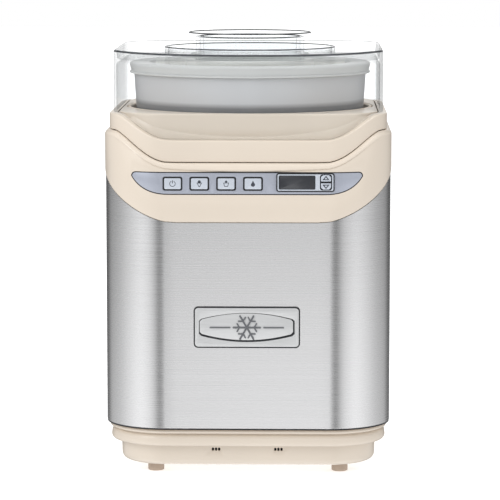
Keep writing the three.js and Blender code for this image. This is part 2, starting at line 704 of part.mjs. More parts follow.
function coolantGel() {
  const { shellTop, shellFoot, shellWall, bottom, gelTop, hubRadius, hubTop, linerWall } = BOWL;
  const floor = bottom + shellWall + GAP;
  const inset = shellWall + 2 * GAP;
  const profile = [
    [0, hubTop + GAP], [hubRadius + GAP, hubTop + GAP], [hubRadius + GAP, floor], [shellFoot - 9, floor],
    [shellFoot - 5, floor + 2], [shellFoot - inset, bottom + 9], [shellTop - inset - 0.6, gelTop],
  ];
  return piece('coolant_gel', turned([...profile, ...linerProfile(gelTop, linerWall + GAP)]), gelBlue);
}

function bowlRim() {
  const { rimOuter, rimInner, rimBottom, rimTop } = BOWL;
  const profile = [
    [rimInner, rimBottom], [rimOuter - 1, rimBottom], [rimOuter, rimBottom + 1], [rimOuter, rimTop - 2],
    [rimOuter - 2, rimTop], [rimInner + 2, rimTop], [rimInner, rimTop - 2],
  ];
  return piece('bowl_rim', turnedRing(profile), bowlWhite);
}

// A U-shaped blade that scrapes the wall and the floor, hung on a ring round the lid's spout.
function mixingPaddle() {
  const { ringInner, ringOuter, ringBottom, top, reach, armWidth, bottom, barHeight } = PADDLE;
  const { corner, peakHalf, peak, thickness } = PADDLE;
  const inner = reach - armWidth;
  const barTop = bottom + barHeight;
  const blade = new THREE.Shape();
  blade.moveTo(corner - reach, bottom);
  blade.lineTo(reach - corner, bottom);
  blade.quadraticCurveTo(reach, bottom, reach, bottom + corner);
  blade.lineTo(reach, top);
  blade.lineTo(ringOuter - 1, top);
  blade.lineTo(ringOuter - 1, ringBottom);
  blade.quadraticCurveTo(inner, ringBottom, inner, ringBottom - corner);
  blade.lineTo(inner, barTop + corner);
  blade.quadraticCurveTo(inner, barTop, inner - corner, barTop);
  blade.lineTo(peakHalf, barTop);
  blade.quadraticCurveTo(0, barTop, 0, barTop + peak);
  blade.quadraticCurveTo(0, barTop, -peakHalf, barTop);
  blade.lineTo(corner - inner, barTop);
  blade.quadraticCurveTo(-inner, barTop, -inner, barTop + corner);
  blade.lineTo(-inner, ringBottom - corner);
  blade.quadraticCurveTo(-inner, ringBottom, 1 - ringOuter, ringBottom);
  blade.lineTo(1 - ringOuter, top);
  blade.lineTo(-reach, top);
  blade.lineTo(-reach, bottom + corner);
  blade.quadraticCurveTo(-reach, bottom, corner - reach, bottom);
  const ring = turnedRing([[ringInner, ringBottom], [ringOuter, ringBottom], [ringOuter, top], [ringInner, top]]);
  return piece('mixing_paddle', join(ring, facing(blade, -thickness / 2, thickness / 2)), paddleWhite);
}

// ---------------------------------------------------------------- drive

function drivePlate() {
  const { plateRadius, plateBottom, plateTop, rimInner, seat, hubRadius, hubBottom, lobeTop } = DRIVE;
  const bore = DRIVE.shaftRadius + GAP;
  const boreTop = DRIVE.shaftTop + GAP;
  const plate = turned([
    [bore, hubBottom], [hubRadius, hubBottom], [hubRadius, plateBottom], [plateRadius, plateBottom],
    [plateRadius, seat], [rimInner, seat], [rimInner, plateTop], [hubRadius, plateTop], [hubRadius, boreTop + 2],
    [0, boreTop + 2], [0, boreTop], [bore, boreTop], [bore, hubBottom],
  ]);
  const boss = cut(raised(lobedShape(0), plateTop - SINK, lobeTop), rod(bore, hubBottom, boreTop));
  return piece('drive_plate', join(plate, boss), darkPlastic);
}

function driveShaft() {
  return piece('drive_shaft', rod(DRIVE.shaftRadius, DRIVE.shaftBottom, DRIVE.shaftTop), motorSteel);
}

function shaftBush() {
  const { outer, flange, bottom, flangeBottom, top } = BUSH;
  const bore = DRIVE.shaftRadius + GAP;
  const profile = [
    [bore, bottom], [outer, bottom], [outer, flangeBottom], [flange, flangeBottom], [flange, top], [bore, top],
  ];
  return piece('shaft_bush', turnedRing(profile), brass);
}

function stageDistance({ module, pinionTeeth, wheelTeeth }) {
  return module * (pinionTeeth + wheelTeeth) / 2;
}

// A spur gear with straight flanks, with one tooth centred on `toothAngle`.
function gear(module, teeth, bore, bottom, top, toothAngle) {
  const pressureSlope = Math.tan(THREE.MathUtils.degToRad(20));
  const pitchRadius = module * teeth / 2;
  const root = pitchRadius - 1.15 * module;
  const tip = pitchRadius + 0.8 * module;
  const halfTooth = 0.6 * module;
  const tipAngle = (halfTooth - (tip - pitchRadius) * pressureSlope) / tip;
  const rootAngle = (halfTooth + (pitchRadius - root) * pressureSlope) / root;
  const points = [];
  for (let i = 0; i < teeth; i++) {
    const middle = toothAngle + i * 2 * Math.PI / teeth;
    for (const [radius, angle] of [[root, -rootAngle], [tip, -tipAngle], [tip, tipAngle], [root, rootAngle]]) {
      points.push(new THREE.Vector2(radius * Math.cos(middle + angle), radius * Math.sin(middle + angle)));
    }
  }
  const shape = new THREE.Shape(points);
  shape.holes.push(new THREE.Path().absarc(0, 0, bore, 0, 2 * Math.PI));
  return raised(shape, bottom, top, SMALL_STEPS);
}

const TOWARDS_MOTOR = Math.PI / 2;
const TOWARDS_OUTPUT = -Math.PI / 2;

function outputGear() {
  const { bottom, top, hubTop, hubRadius } = OUTPUT_GEAR;
  const bore = DRIVE.shaftRadius + GAP;
  const wheel = gear(LAST_STAGE.module, LAST_STAGE.wheelTeeth, bore, bottom, top, TOWARDS_MOTOR);
  const hub = turnedRing([[bore, bottom], [hubRadius, bottom], [hubRadius, hubTop], [bore, hubTop]], SMALL_STEPS);
  return piece('output_gear', join(wheel, hub), gearWhite);
}

// One moulding: the large wheel that the motor drives, and the pinion that drives the output gear.
function idlerGear() {
  const { bottom, wheelTop, top, pin } = IDLER;
  const halfStep = Math.PI / LAST_STAGE.pinionTeeth;
  const wheel = gear(FIRST_STAGE.module, FIRST_STAGE.wheelTeeth, pin + GAP, bottom, wheelTop, TOWARDS_MOTOR);
  const pinion = gear(LAST_STAGE.module, LAST_STAGE.pinionTeeth, pin + GAP, bottom, top, TOWARDS_OUTPUT + halfStep);
  return piece('idler_gear', join(wheel, pinion), gearWhite, 0, idlerY);
}

function idlerPin() {
  return piece('idler_pin', rod(IDLER.pin, GEARBOX.floorTop + GAP, GEARBOX.roof - GAP), motorSteel, 0, idlerY);
}

function motorPinion() {
  const halfStep = Math.PI / FIRST_STAGE.pinionTeeth;
  const { bottom, top } = PINION;
  const teeth = gear(
    FIRST_STAGE.module, FIRST_STAGE.pinionTeeth, MOTOR.shaft + GAP, bottom, top, TOWARDS_OUTPUT + halfStep);
  return piece('motor_pinion', teeth, brass, 0, motorY);
}

function motorShaft() {
  const { top, boreDepth, shaft, shaftTop } = MOTOR;
  return piece('motor_shaft', rod(shaft, top - boreDepth + GAP, shaftTop, PIN_STEPS), motorSteel, 0, motorY);
}

function motorCan() {
  const { radius, bottom, top, edge, bell, bellDrop, shaft, boreDepth } = MOTOR;
  const bore = shaft + GAP;
  const low = bottom - bellDrop;
  const can = turned([
    [0, low], [bell - edge, low], [bell, low + edge], [bell, bottom],
    [radius - edge, bottom], [radius, bottom + edge], [radius, top - edge], [radius - edge, top],
    [bore, top], [bore, top - boreDepth], [0, top - boreDepth],
  ]);
  return piece('motor_can', can, motorSteel, 0, motorY);
}

// Outline of the gearbox, shrunk by `inset`.
function gearboxOutline(inset) {
  const { width, length, corner, centreY } = GEARBOX;
  return roundedRect(0, centreY, width - 2 * inset, length - 2 * inset, corner - inset);
}

// Four screw ears on the gearbox, between two heights.
const EAR_PLACES = GEARBOX.earY.flatMap((y) => [[-GEARBOX.earX, y], [GEARBOX.earX, y]]);
const ears = (radius, bottom, top) => EAR_PLACES.map(([x, y]) => rod(radius, bottom, top).translate(x, y, 0));

function gearboxTray() {
  const { wall, bottom, floorTop, split } = GEARBOX;
  const shell = join(raised(gearboxOutline(0), bottom, split), ...ears(GEARBOX.earRadius, bottom, split));
  const cavity = raised(gearboxOutline(wall), floorTop, split + 1);
  const shaftHole = rod(2 * MOTOR.shaft, bottom - 1, split, PIN_STEPS).translate(0, motorY, 0);
  const tray = cut(shell, cavity, shaftHole, ...ears(GEAR_SCREW.shank + GAP, bottom - 1, split + 1));
  return piece('gearbox_tray', tray, darkPlastic);
}

function gearboxCover() {
  const { wall, bottom, split, roof, top } = GEARBOX;
  const screwTop = bottom + GEAR_SCREW.length + 1;
  const shell = join(raised(gearboxOutline(0), split + GAP, top), ...ears(GEARBOX.earRadius, split + GAP, top));
  const cavity = raised(gearboxOutline(wall), split, roof);
  const bushHole = rod(BUSH.outer + GAP, roof - 1, top + 1, LATHE_STEPS);
  const cover = cut(shell, cavity, bushHole, ...ears(GEAR_SCREW.shank + GAP, split, screwTop));
  return piece('gearbox_cover', cover, darkPlastic);
}

function gearboxScrews() {
  return EAR_PLACES.map(([x, y], i) =>
    piece(`gearbox_screw_${i + 1}`, screw(GEAR_SCREW), motorSteel, x, y, GEARBOX.bottom - GAP));
}

// ---------------------------------------------------------------- power supply

function powerBoard() {
  const { z, width, depth, thickness, legRadius, legInset } = POWER_BOARD;
  const top = z + thickness;
  const parts = [TRANSFORMER, RELAY, TERMINALS].map((part) =>
    block(part.x, part.y, top + (part.height - SINK) / 2, part.width, part.depth, part.height + SINK));
  const can = rod(CAPACITOR.radius, top - SINK, top + CAPACITOR.height, PIN_STEPS);
  parts.push(can.translate(CAPACITOR.x, CAPACITOR.y, 0));
  for (const [, sideX, sideY] of CORNER_NAMES) {
    const leg = rod(legRadius, BASE.bottom + BASE.floor + GAP, z + SINK);
    parts.push(leg.translate(sideX * (width / 2 - legInset), sideY * (depth / 2 - legInset), 0));
  }
  const board = block(0, 0, z + thickness / 2, width, depth, thickness);
  return piece('power_board', join(board, ...parts), boardGreen, POWER_BOARD.x, POWER_BOARD.y);
}

function cordGland() {
  const { x, z, bore, body, flange, edge, inner, nut, back } = GLAND;
  const wallInside = BODY.half - SLEEVE.thickness - GAP;
  const wallOutside = BODY.half + GAP;
  const gland = turnedRing([
    [bore, inner], [body, inner], [body, nut], [flange, nut], [flange, wallInside], [body, wallInside],
    [body, wallOutside], [flange, wallOutside], [flange, back - edge], [flange - edge, back], [bore, back],
  ], SMALL_STEPS);
  return piece('cord_gland', gland.rotateX(-Math.PI / 2), darkPlastic, x, 0, z);
}

// ---------------------------------------------------------------- assembly

function group(...pieces) {
  const assembly = new THREE.Group();
  assembly.add(...pieces);
  return assembly;
}

const atCorners = (make) => CORNER_NAMES.map(([name, sideX, sideY]) => make(name, sideX, sideY));

const base = group(
  basePan(), ...atCorners(foot), ...atCorners(baseScrew), ...atCorners(post), powerBoard(), cordGland());
const housing = group(steelWrap(), controlTrim(), topDeck(), bowlWell(), badgePlate(), badgeEmblem());
const controls = group(
  controlFascia(), ...BUTTON_NAMES.map(modeButton), displayBezel(), displayLens(),
  timerKey('timer_up_key', KEY.upZ, 1), timerKey('timer_down_key', KEY.downZ, -1), controlBoard());
const drive = group(
  drivePlate(), driveShaft(), shaftBush(), outputGear(), idlerGear(), idlerPin(), motorPinion(), motorShaft(),
  motorCan(), gearboxTray(), gearboxCover(), ...gearboxScrews());
const freezerBowl = group(bowlOuter(), bowlLiner(), coolantGel(), bowlRim());
const lidAndPaddle = group(lid(), lidSpout(), spoutCap(), mixingPaddle());

export default group(base, housing, controls, drive, freezerBowl, lidAndPaddle);
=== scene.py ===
# Looks of the ice cream maker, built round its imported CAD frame.
# Lengths are in millimetres up to the point where a mesh is made, and Blender's are in metres.

from math import cos, degrees, pi, radians, sin

import bmesh
import bpy
from mathutils import Matrix, Vector

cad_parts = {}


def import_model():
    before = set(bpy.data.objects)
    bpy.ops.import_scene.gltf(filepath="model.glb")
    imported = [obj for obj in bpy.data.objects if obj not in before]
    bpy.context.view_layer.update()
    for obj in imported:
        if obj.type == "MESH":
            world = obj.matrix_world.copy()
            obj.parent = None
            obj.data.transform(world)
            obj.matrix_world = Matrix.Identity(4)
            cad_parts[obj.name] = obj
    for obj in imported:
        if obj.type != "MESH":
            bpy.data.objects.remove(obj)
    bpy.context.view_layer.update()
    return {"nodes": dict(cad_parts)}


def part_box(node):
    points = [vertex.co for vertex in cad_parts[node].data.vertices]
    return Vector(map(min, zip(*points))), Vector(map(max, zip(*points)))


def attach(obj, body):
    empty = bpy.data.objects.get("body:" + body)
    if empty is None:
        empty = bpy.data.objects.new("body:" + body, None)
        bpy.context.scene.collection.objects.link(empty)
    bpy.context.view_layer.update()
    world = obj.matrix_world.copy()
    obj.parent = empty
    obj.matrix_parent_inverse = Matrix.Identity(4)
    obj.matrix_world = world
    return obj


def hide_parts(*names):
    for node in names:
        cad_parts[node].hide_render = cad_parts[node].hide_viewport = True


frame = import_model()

MM = 0.001


def in_mm(node):
    """Lowest and highest corners of a CAD node, in millimetres."""
    low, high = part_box(node)
    return low / MM, high / MM


def face_of(*nodes):
    """Centre, width and height of CAD nodes seen from the front, in millimetres."""
    boxes = [in_mm(node) for node in nodes]
    left, bottom = (min(low[axis] for low, high in boxes) for axis in (0, 2))
    right, top = (max(high[axis] for low, high in boxes) for axis in (0, 2))
    return (left + right) / 2, (bottom + top) / 2, right - left, top - bottom


# ---- driving dimensions

SLEEVE_LOW, SLEEVE_HIGH = in_mm("steel_wrap")
TRIM_LOW, TRIM_HIGH = in_mm("control_trim")
DECK_LOW, DECK_HIGH = in_mm("top_deck")
BASE_LOW, BASE_HIGH = in_mm("base_pan")
WELL_LOW, WELL_HIGH = in_mm("bowl_well")
LID_LOW, LID_HIGH = in_mm("lid")
SPOUT_LOW, SPOUT_HIGH = in_mm("lid_spout")
CAP_LOW, CAP_HIGH = in_mm("spout_cap")
RIM_LOW, RIM_HIGH = in_mm("bowl_rim")
SHELL_LOW, SHELL_HIGH = in_mm("bowl_outer")
PADDLE_LOW, PADDLE_HIGH = in_mm("mixing_paddle")
PLATE_LOW, PLATE_HIGH = in_mm("drive_plate")
BADGE_LOW, BADGE_HIGH = in_mm("badge_plate")
EMBLEM_LOW, EMBLEM_HIGH = in_mm("badge_emblem")
BEZEL_LOW, BEZEL_HIGH = in_mm("display_bezel")
LENS_LOW, LENS_HIGH = in_mm("display_lens")
PANEL_LOW, PANEL_HIGH = in_mm("control_fascia")

HALF = SLEEVE_HIGH.x  # half the width of the steel sleeve
CORNER = 48.0  # radius of its vertical corners
FLAT = HALF - CORNER
GAP = 0.3  # between parts that meet at a seam
THROUGH_FRONT = (FLAT + 20, HALF + 15)  # from behind the front's mouldings to in front of all of them
THROUGH_PANEL = (FLAT + 30, HALF + 10)
FADE_END = 112  # the creases over and under the deck fade out this far from the front centre
FLANGE = 1.0  # the flange behind a button's cap stands out this far all round
ICON_SCALE = 1.1  # size of the marks on the buttons, next to the outlines that icons() gives

# Seams: height at the front and at the back, where they rise along the plan, and how early.
TRIM_EDGE = dict(front=TRIM_LOW.z + 6, back=SLEEVE_HIGH.z + GAP, start=58, end=215, skew=0.8)
TRIM_TOP = dict(front=DECK_LOW.z - GAP, back=267.4, start=59, end=116, skew=1)
RING_TOP = dict(front=LID_LOW.z - 2 * GAP, back=280, start=59, end=116, skew=1)
LID_TOP = dict(front=LID_HIGH.z - 2.3, back=LID_HIGH.z, start=15, end=130, skew=1)

BUTTONS = ["power_button", "ice_cream_button", "gelato_button", "sorbet_button"]
KEYS = {"timer_up_key": 1, "timer_down_key": -1}  # the way that each key's triangle points, up or down
CORNERS = ["front_left", "front_right", "rear_left", "rear_right"]


# ---- meshes

def new_object(name, data):
    piece = bpy.data.objects.new(name, data)
    bpy.context.scene.collection.objects.link(piece)
    return piece


def mesh_piece(name, points, faces):
    """An object from points in millimetres and faces of point numbers."""
    mesh = bpy.data.meshes.new(name)
    mesh.from_pydata([tuple(value * MM for value in point) for point in points], [], faces)
    tool = bmesh.new()
    tool.from_mesh(mesh)
    bmesh.ops.remove_doubles(tool, verts=tool.verts, dist=1e-7)
    bmesh.ops.dissolve_degenerate(tool, edges=tool.edges, dist=1e-7)
    bmesh.ops.recalc_face_normals(tool, faces=tool.faces)
    tool.to_mesh(mesh)
    tool.free()
    return new_object(name, mesh)


def apply_modifiers(piece):
    """Keep the piece's modified shape as its own mesh."""
    graph = bpy.context.evaluated_depsgraph_get()
    graph.update()
    mesh = bpy.data.meshes.new_from_object(piece.evaluated_get(graph))
    piece.modifiers.clear()
    piece.data = mesh


def boolean(piece, tool, operation):
    """Cut, join or cross a piece with a tool, which is used up."""
    modifier = piece.modifiers.new("boolean", "BOOLEAN")
    modifier.operation = operation
    modifier.solver = "EXACT"
    modifier.object = tool
    apply_modifiers(piece)
    bpy.data.objects.remove(tool)
    return piece


def cut(piece, *tools):
    for tool in tools:
        boolean(piece, tool, "DIFFERENCE")
    return piece


def join(piece, *others):
    for other in others:
        boolean(piece, other, "UNION")
    return piece


def soften(piece, width, segments=3, angle=32):
    """Round the sharp edges by `width`, and shade the rest smooth."""
    if width:
        bevel = piece.modifiers.new("bevel", "BEVEL")
        bevel.width = width * MM
        bevel.segments = segments
        bevel.limit_method = "ANGLE"
        bevel.angle_limit = radians(angle)
        bevel.miter_outer = "MITER_ARC"
        apply_modifiers(piece)
    piece.data.shade_smooth()
    piece.data.set_sharp_from_angle(angle=radians(angle))
    return piece


def plan_points(corner_steps, side_steps):
    """Points round the plan: anchor on the core square, outward normal, distance from the front centre."""
    quarter_length = 2 * FLAT + CORNER * pi / 2
    local = [(FLAT * (2 * i / side_steps - 1), 0) for i in range(side_steps)]
    local += [(FLAT, i / corner_steps * pi / 2) for i in range(corner_steps)]
    points = []
    for quarter in range(4):
        turn = Matrix.Rotation(quarter * pi / 2, 2)
        for x, angle in local:
            walked = quarter * quarter_length + x + CORNER * angle
            anchor = turn @ Vector((x, -FLAT))
            normal = turn @ Vector((sin(angle), -cos(angle)))
            points.append((anchor, normal, min(abs(walked), 4 * quarter_length - walked)))
    return points


PLAN = plan_points(20, 14)


def seam(line, lift=0.0):
    """Height of a seam as a function of the distance from the front centre."""
    def height(along):
        part = min(max((along - line["start"]) / (line["end"] - line["start"]), 0), 1)
        rise = (1 - cos(pi * part ** line["skew"])) / 2
        return line["front"] + (line["back"] - line["front"]) * rise + lift
    return height


def value_at(value, along):
    """A number, or the value of a function of the distance from the front centre."""
    return value(along) if callable(value) else value


def square(half, height):
    """A rail round the rounded square."""
    def place(anchor, normal, along):
        spot = anchor + normal * (value_at(half, along) - FLAT)
        return (*spot, value_at(height, along))
    return place


def circle(radius, height):
    """A rail round a circle."""
    def place(anchor, normal, along):
        return (*((anchor + normal * CORNER).normalized() * radius), value_at(height, along))
    return place


def squares(points):
    return [square(half, height) for half, height in points]


def circles(points):
    return [circle(radius, z) for radius, z in points]


def skin(count, rows, closed):
    """Faces between each row of `count` points and the next, and back to the first row if closed."""
    faces = []
    for row in range(rows if closed else rows - 1):
        low, high = row * count, (row + 1) % rows * count
        for i in range(count):
            after = (i + 1) % count
            faces.append((low + i, low + after, high + after, high + i))
    return faces


def loft(name, rails, closed=True):
    """Skin over rails that run up the outside; an open section is capped at both ends."""
    count = len(PLAN)
    points = [rail(*point) for rail in rails for point in PLAN]
    faces = skin(count, len(rails), closed)
    if not closed:
        faces.append(tuple(reversed(range(count))))
        faces.append(tuple(range((len(rails) - 1) * count, len(rails) * count)))
    return mesh_piece(name, points, faces)


def turned(name, profile, steps=128, centre=(0, 0)):
    """A solid turned about Z. A profile that doesn't start on the axis closes on itself."""
    ring = profile[0][0] > 0
    angles = [i * 2 * pi / steps for i in range(steps)]
    points = [(centre[0] + radius * cos(angle), centre[1] + radius * sin(angle), z)
              for radius, z in profile for angle in angles]
    return mesh_piece(name, points, skin(steps, len(profile), ring))


def arc(x, y, radius, start, end, steps=6):
    """Points on an arc, with its angles in degrees."""
    angles = [radians(start + (end - start) * i / steps) for i in range(steps + 1)]
    return [(x + radius * cos(angle), y + radius * sin(angle)) for angle in angles]


def corner(x, y, radius, start, end, steps=6):
    """A quarter arc that rounds off the corner at x, y, with the angles of its ends in degrees."""
    ends = [radians(start), radians(end)]
    x -= radius * sum(cos(angle) for angle in ends)
    y -= radius * sum(sin(angle) for angle in ends)
    return arc(x, y, radius, start, end, steps)


def rounded(x, y, width, height, radius, steps=6):
    right, left = x + width / 2 - radius, x - width / 2 + radius
    high, low = y + height / 2 - radius, y - height / 2 + radius
    return (arc(right, low, radius, -90, 0, steps) + arc(right, high, radius, 0, 90, steps)
            + arc(left, high, radius, 90, 180, steps) + arc(left, low, radius, 180, 270, steps))


def prism(name, outline, place, near, far):
    """A prism between two levels; `place` turns an outline point and a level into a point."""
    count = len(outline)
    points = [place(a, b, level) for level in (near, far) for a, b in outline]
    ends = [tuple(range(count)), tuple(range(count, 2 * count))]
    return mesh_piece(name, points, ends + skin(count, 2, closed=False))


def raised(name, outline, bottom, top):
    """A prism that stands on its outline, drawn in X and Y."""
    return prism(name, outline, lambda x, y, level: (x, y, level), bottom, top)


def facing(name, outline, back, front):
    """A prism that faces the front, drawn in X and Z, between two distances in front of the centre."""
    return prism(name, outline, lambda x, z, level: (x, -level, z), back, front)


# ---- materials

def linear(red, green, blue):
    """A screen colour from 0 to 255 as Blender's linear colour."""
    def one(value):
        value /= 255
        return value / 12.92 if value <= 0.04045 else ((value + 0.055) / 1.055) ** 2.4
    return (one(red), one(green), one(blue), 1)


class Nodes:
    """Short ways to build a node tree. A value is a number, a colour or another node's output."""

    def __init__(self, tree):
        self.tree = tree

    def feed(self, sockets, *values):
        for socket, value in zip(sockets, values):
            if isinstance(value, bpy.types.NodeSocket):
                self.tree.links.new(value, socket)
            else:
                socket.default_value = value

    def add(self, kind, **inputs):
        node = self.tree.nodes.new("ShaderNode" + kind)
        self.feed([node.inputs[name.replace("_", " ")] for name in inputs], *inputs.values())
        return node

    def maths(self, operation, *values):
        """The result of a sum."""
        node = self.add("Math")
        node.operation = operation
        self.feed(node.inputs, *values)
        return node.outputs[0]

    def mix(self, data_type, share, first, second):
        """Two colours or two numbers, mixed by the share of the second."""
        node = self.add("Mix")
        node.data_type = data_type
        self.feed([socket for socket in node.inputs if socket.enabled], share, first, second)
        return next(socket for socket in node.outputs if socket.enabled)

    def axis(self, coordinates, name):
        """One axis of a texture coordinate."""
        where = self.add("TexCoord").outputs[coordinates]
        return self.add("SeparateXYZ", Vector=where).outputs[name]


class Shader(Nodes):
    """A material with a Principled BSDF, a screen colour, and short ways to vary it."""

    def __init__(self, name, color, roughness, metallic=0.0):
        self.material = bpy.data.materials.new(name)
        self.material.use_nodes = True
        super().__init__(self.material.node_tree)
        self.bsdf = self.tree.nodes["Principled BSDF"]
        self.color = linear(*color)
        self.set("Base Color", self.color)
        self.set("Roughness", roughness)
        self.set("Metallic", metallic)

    def set(self, socket, value):
        self.feed([self.bsdf.inputs[socket]], value)

    def coat(self, weight, roughness):
        self.set("Coat Weight", weight)
        self.set("Coat Roughness", roughness)

    def mix_shaders(self, share, *shaders):
        node = self.add("MixShader")
        self.feed(node.inputs, share, *shaders)
        return node.outputs[0]

    def place(self, scale=(1, 1, 1)):
        """Position on the object, in metres, stretched by `scale`."""
        where = self.add("TexCoord").outputs["Object"]
        return self.add("Mapping", Vector=where, Scale=scale).outputs["Vector"]

    def noise(self, scale, detail=3, stretch=(1, 1, 1)):
        return self.add("TexNoise", Vector=self.place(stretch), Scale=scale, Detail=detail).outputs["Fac"]

    def spread(self, value, low, high):
        """Map 0.3 to 0.7 of a noise onto low to high."""
        node = self.add("MapRange", Value=value, From_Min=0.3, From_Max=0.7, To_Min=low, To_Max=high)
        return node.outputs["Result"]

    def tint(self, value, change):
        """Vary the base colour by a noise, from `change` darker to `change` lighter."""
        dark = tuple(part * (1 - change) for part in self.color[:3]) + (1,)
        light = tuple(min(part * (1 + change), 1) for part in self.color[:3]) + (1,)
        self.set("Base Color", self.mix("RGBA", self.spread(value, 0, 1), dark, light))

    def rough(self, value, low, high):
        self.set("Roughness", self.spread(value, low, high))

    def bump(self, value, depth, strength=1.0):
        """Raise the surface by up to `depth` millimetres where the noise is bright."""
        node = self.add("Bump", Height=value, Strength=strength, Distance=depth * MM)
        self.set("Normal", node.outputs["Normal"])


def moulded(name, color, roughness, grain=0.02, coat=0.0):
    """Moulded plastic: a fine grain, and colour and gloss that drift a little."""
    shader = Shader(name, color, roughness)
    shader.tint(shader.noise(14), 0.02)
    shader.rough(shader.noise(60), roughness - 0.04, roughness + 0.04)
    shader.bump(shader.noise(1500, 2), grain, 0.35)
    shader.coat(coat, 0.12)
    return shader.material


def brushed(name, color, roughness, stretch=(6, 6, 1200), change=0.05):
    """Metal brushed across: long scratches in colour, gloss and height."""
    shader = Shader(name, color, roughness, 1.0)
    scratches = shader.noise(1.0, 3, stretch)
    shader.tint(scratches, change)
    shader.rough(scratches, roughness - change, roughness + change)
    shader.bump(scratches, 0.01, 0.2)
    return shader


def sleeve_steel():
    """Steel brushed round the body, so its highlights stretch upwards."""
    shader = brushed("brushed_steel", (226, 226, 227), 0.27, (3, 3, 2400), 0.035)
    tangent = shader.add("Tangent")
    tangent.direction_type = "RADIAL"
    tangent.axis = "Z"
    shader.set("Tangent", tangent.outputs["Tangent"])
    shader.set("Anisotropic", 0.75)
    shader.set("Anisotropic Rotation", 0.25)
    return shader.material


def machined(name, color, roughness):
    """Turned or plated metal, with fine rings across its height and a mottled gloss."""
    shader = Shader(name, color, roughness, 1.0)
    shader.tint(shader.noise(90), 0.08)
    shader.rough(shader.noise(400), roughness - 0.06, roughness + 0.08)
    shader.bump(shader.noise(1.0, 2, (20, 20, 2500)), 0.01, 0.3)
    return shader.material


def lacquer(name, color, roughness):
    """Metallic lacquer: tiny flakes under a clear coat."""
    shader = Shader(name, color, roughness, 0.35)
    flakes = shader.add("TexVoronoi", Vector=shader.place(), Scale=3500).outputs["Distance"]
    shader.tint(flakes, 0.06)
    shader.rough(shader.noise(200), roughness - 0.05, roughness + 0.05)
    shader.bump(flakes, 0.008, 0.3)
    shader.coat(0.35, 0.15)
    return shader.material


def bowl_plastic_painted_shade():
    """Light grey plastic of the bowl, with painted shade: darker below a line just over the deck's top."""
    shader = Shader("shell_plastic_painted_shade", (202, 203, 205), 0.35)
    tall = SHELL_HIGH.z - SHELL_LOW.z
    # Painted shade: below `step`, a line just over the deck's top and not a step in the shell, the grey
    # turns darker (134, 135, 137).
    step, blur = (DECK_HIGH.z + 5 - SHELL_LOW.z) / tall, 2 / tall
    height = shader.axis("Generated", "Z")
    above = shader.add("MapRange", Value=height, From_Min=step - blur, From_Max=step + blur)
    color = shader.mix("RGBA", above.outputs["Result"], linear(134, 135, 137), shader.color)
    shader.set("Base Color", color)
    shader.rough(shader.noise(60), 0.3, 0.4)
    shader.bump(shader.noise(1500, 2), 0.02, 0.3)
    shader.coat(0.3, 0.12)
    return shader.material


def satin(name, color):
    """Satin silver plating on plastic, brushed very finely."""
    shader = Shader(name, color, 0.38, 0.55)
    scratches = shader.noise(1.0, 3, (60, 60, 2500))
    shader.tint(scratches, 0.03)
    shader.rough(scratches, 0.34, 0.42)
    shader.bump(scratches, 0.006, 0.15)
    return shader.material


def rubber(name, color):
    """Rubber: matte, with a coarse grain and a soft sheen."""
    shader = Shader(name, color, 0.75)
    shader.tint(shader.noise(120), 0.06)
    shader.rough(shader.noise(300), 0.68, 0.85)
    shader.bump(shader.noise(2200, 3), 0.05, 0.5)
    shader.set("Sheen Weight", 0.15)
    shader.set("Sheen Roughness", 0.5)
    return shader.material


def clear(name, color, mirror_share, painted_outline_share):
    """Thin clear plastic, see-through square on; dark refraction is painted along edges and grazing walls.
    """
    shader = Shader(name, color, 0.06)
    shader.tint(shader.noise(9), 0.03)
    shader.rough(shader.noise(30), 0.04, 0.09)
    shader.bump(shader.noise(25, 1), 0.02, 0.15)
    shader.set("Specular IOR Level", 0.35)
    edge = shader.add("Attribute")
    edge.attribute_name = "edge"
    maths = shader.maths
    grazing = shader.add("LayerWeight", Blend=0.5).outputs["Facing"]
    flatness = maths("ABSOLUTE", shader.axis("Normal", "Z"))
    wall = maths("SUBTRACT", 1.0, flatness)
    outline = maths("MULTIPLY", maths("POWER", grazing, 4.0), painted_outline_share)
    glancing = maths("MAXIMUM", maths("POWER", grazing, 13.0), outline)
    side = maths("MULTIPLY", glancing, maths("MULTIPLY", wall, 0.95))
    # Painted dark lines: the marked edges turn to the opaque dark grey, in place of their dark refraction.
    line = maths("MULTIPLY", edge.outputs["Fac"], 0.96)
    painted_dark_share = maths("MAXIMUM", maths("MAXIMUM", side, line), 0.012)
    reflected = maths("ADD", maths("MULTIPLY", maths("POWER", grazing, 5.0), 0.4), 0.03)
    mirror = maths("MULTIPLY", reflected, maths("MULTIPLY", flatness, mirror_share))
    see_through = shader.add("BsdfTransparent", Color=(0.98, 0.984, 0.986, 1))
    sheen = shader.add("BsdfGlossy", Color=(1, 1, 1, 1), Roughness=0.05)
    surface = shader.mix_shaders(mirror, see_through.outputs[0], sheen.outputs[0])
    surface = shader.mix_shaders(painted_dark_share, surface, shader.bsdf.outputs[0])
    shader.feed(shader.tree.nodes["Material Output"].inputs, surface)
    return shader.material


def display_glass():
    """Dark display window: smoked and glossy, a little uneven in tone."""
    shader = Shader("display_glass", (58, 60, 65), 0.16)
    shader.tint(shader.noise(35), 0.12)
    shader.rough(shader.noise(300), 0.09, 0.16)
    shader.coat(0.2, 0.08)
    return shader.material


def circuit_board():
    """Green solder mask, with lighter tracks in a rough grid under it."""
    shader = Shader("circuit_board", (38, 92, 58), 0.4)
    tracks = shader.add("TexBrick", Vector=shader.place(), Scale=260, Mortar_Size=0.02, Color1=shader.color,
                        Color2=linear(42, 98, 62), Mortar=linear(84, 142, 92))
    shader.set("Base Color", tracks.outputs["Color"])
    shader.bump(tracks.outputs["Fac"], 0.03, 0.4)
    shader.rough(shader.noise(500), 0.32, 0.5)
    return shader.material


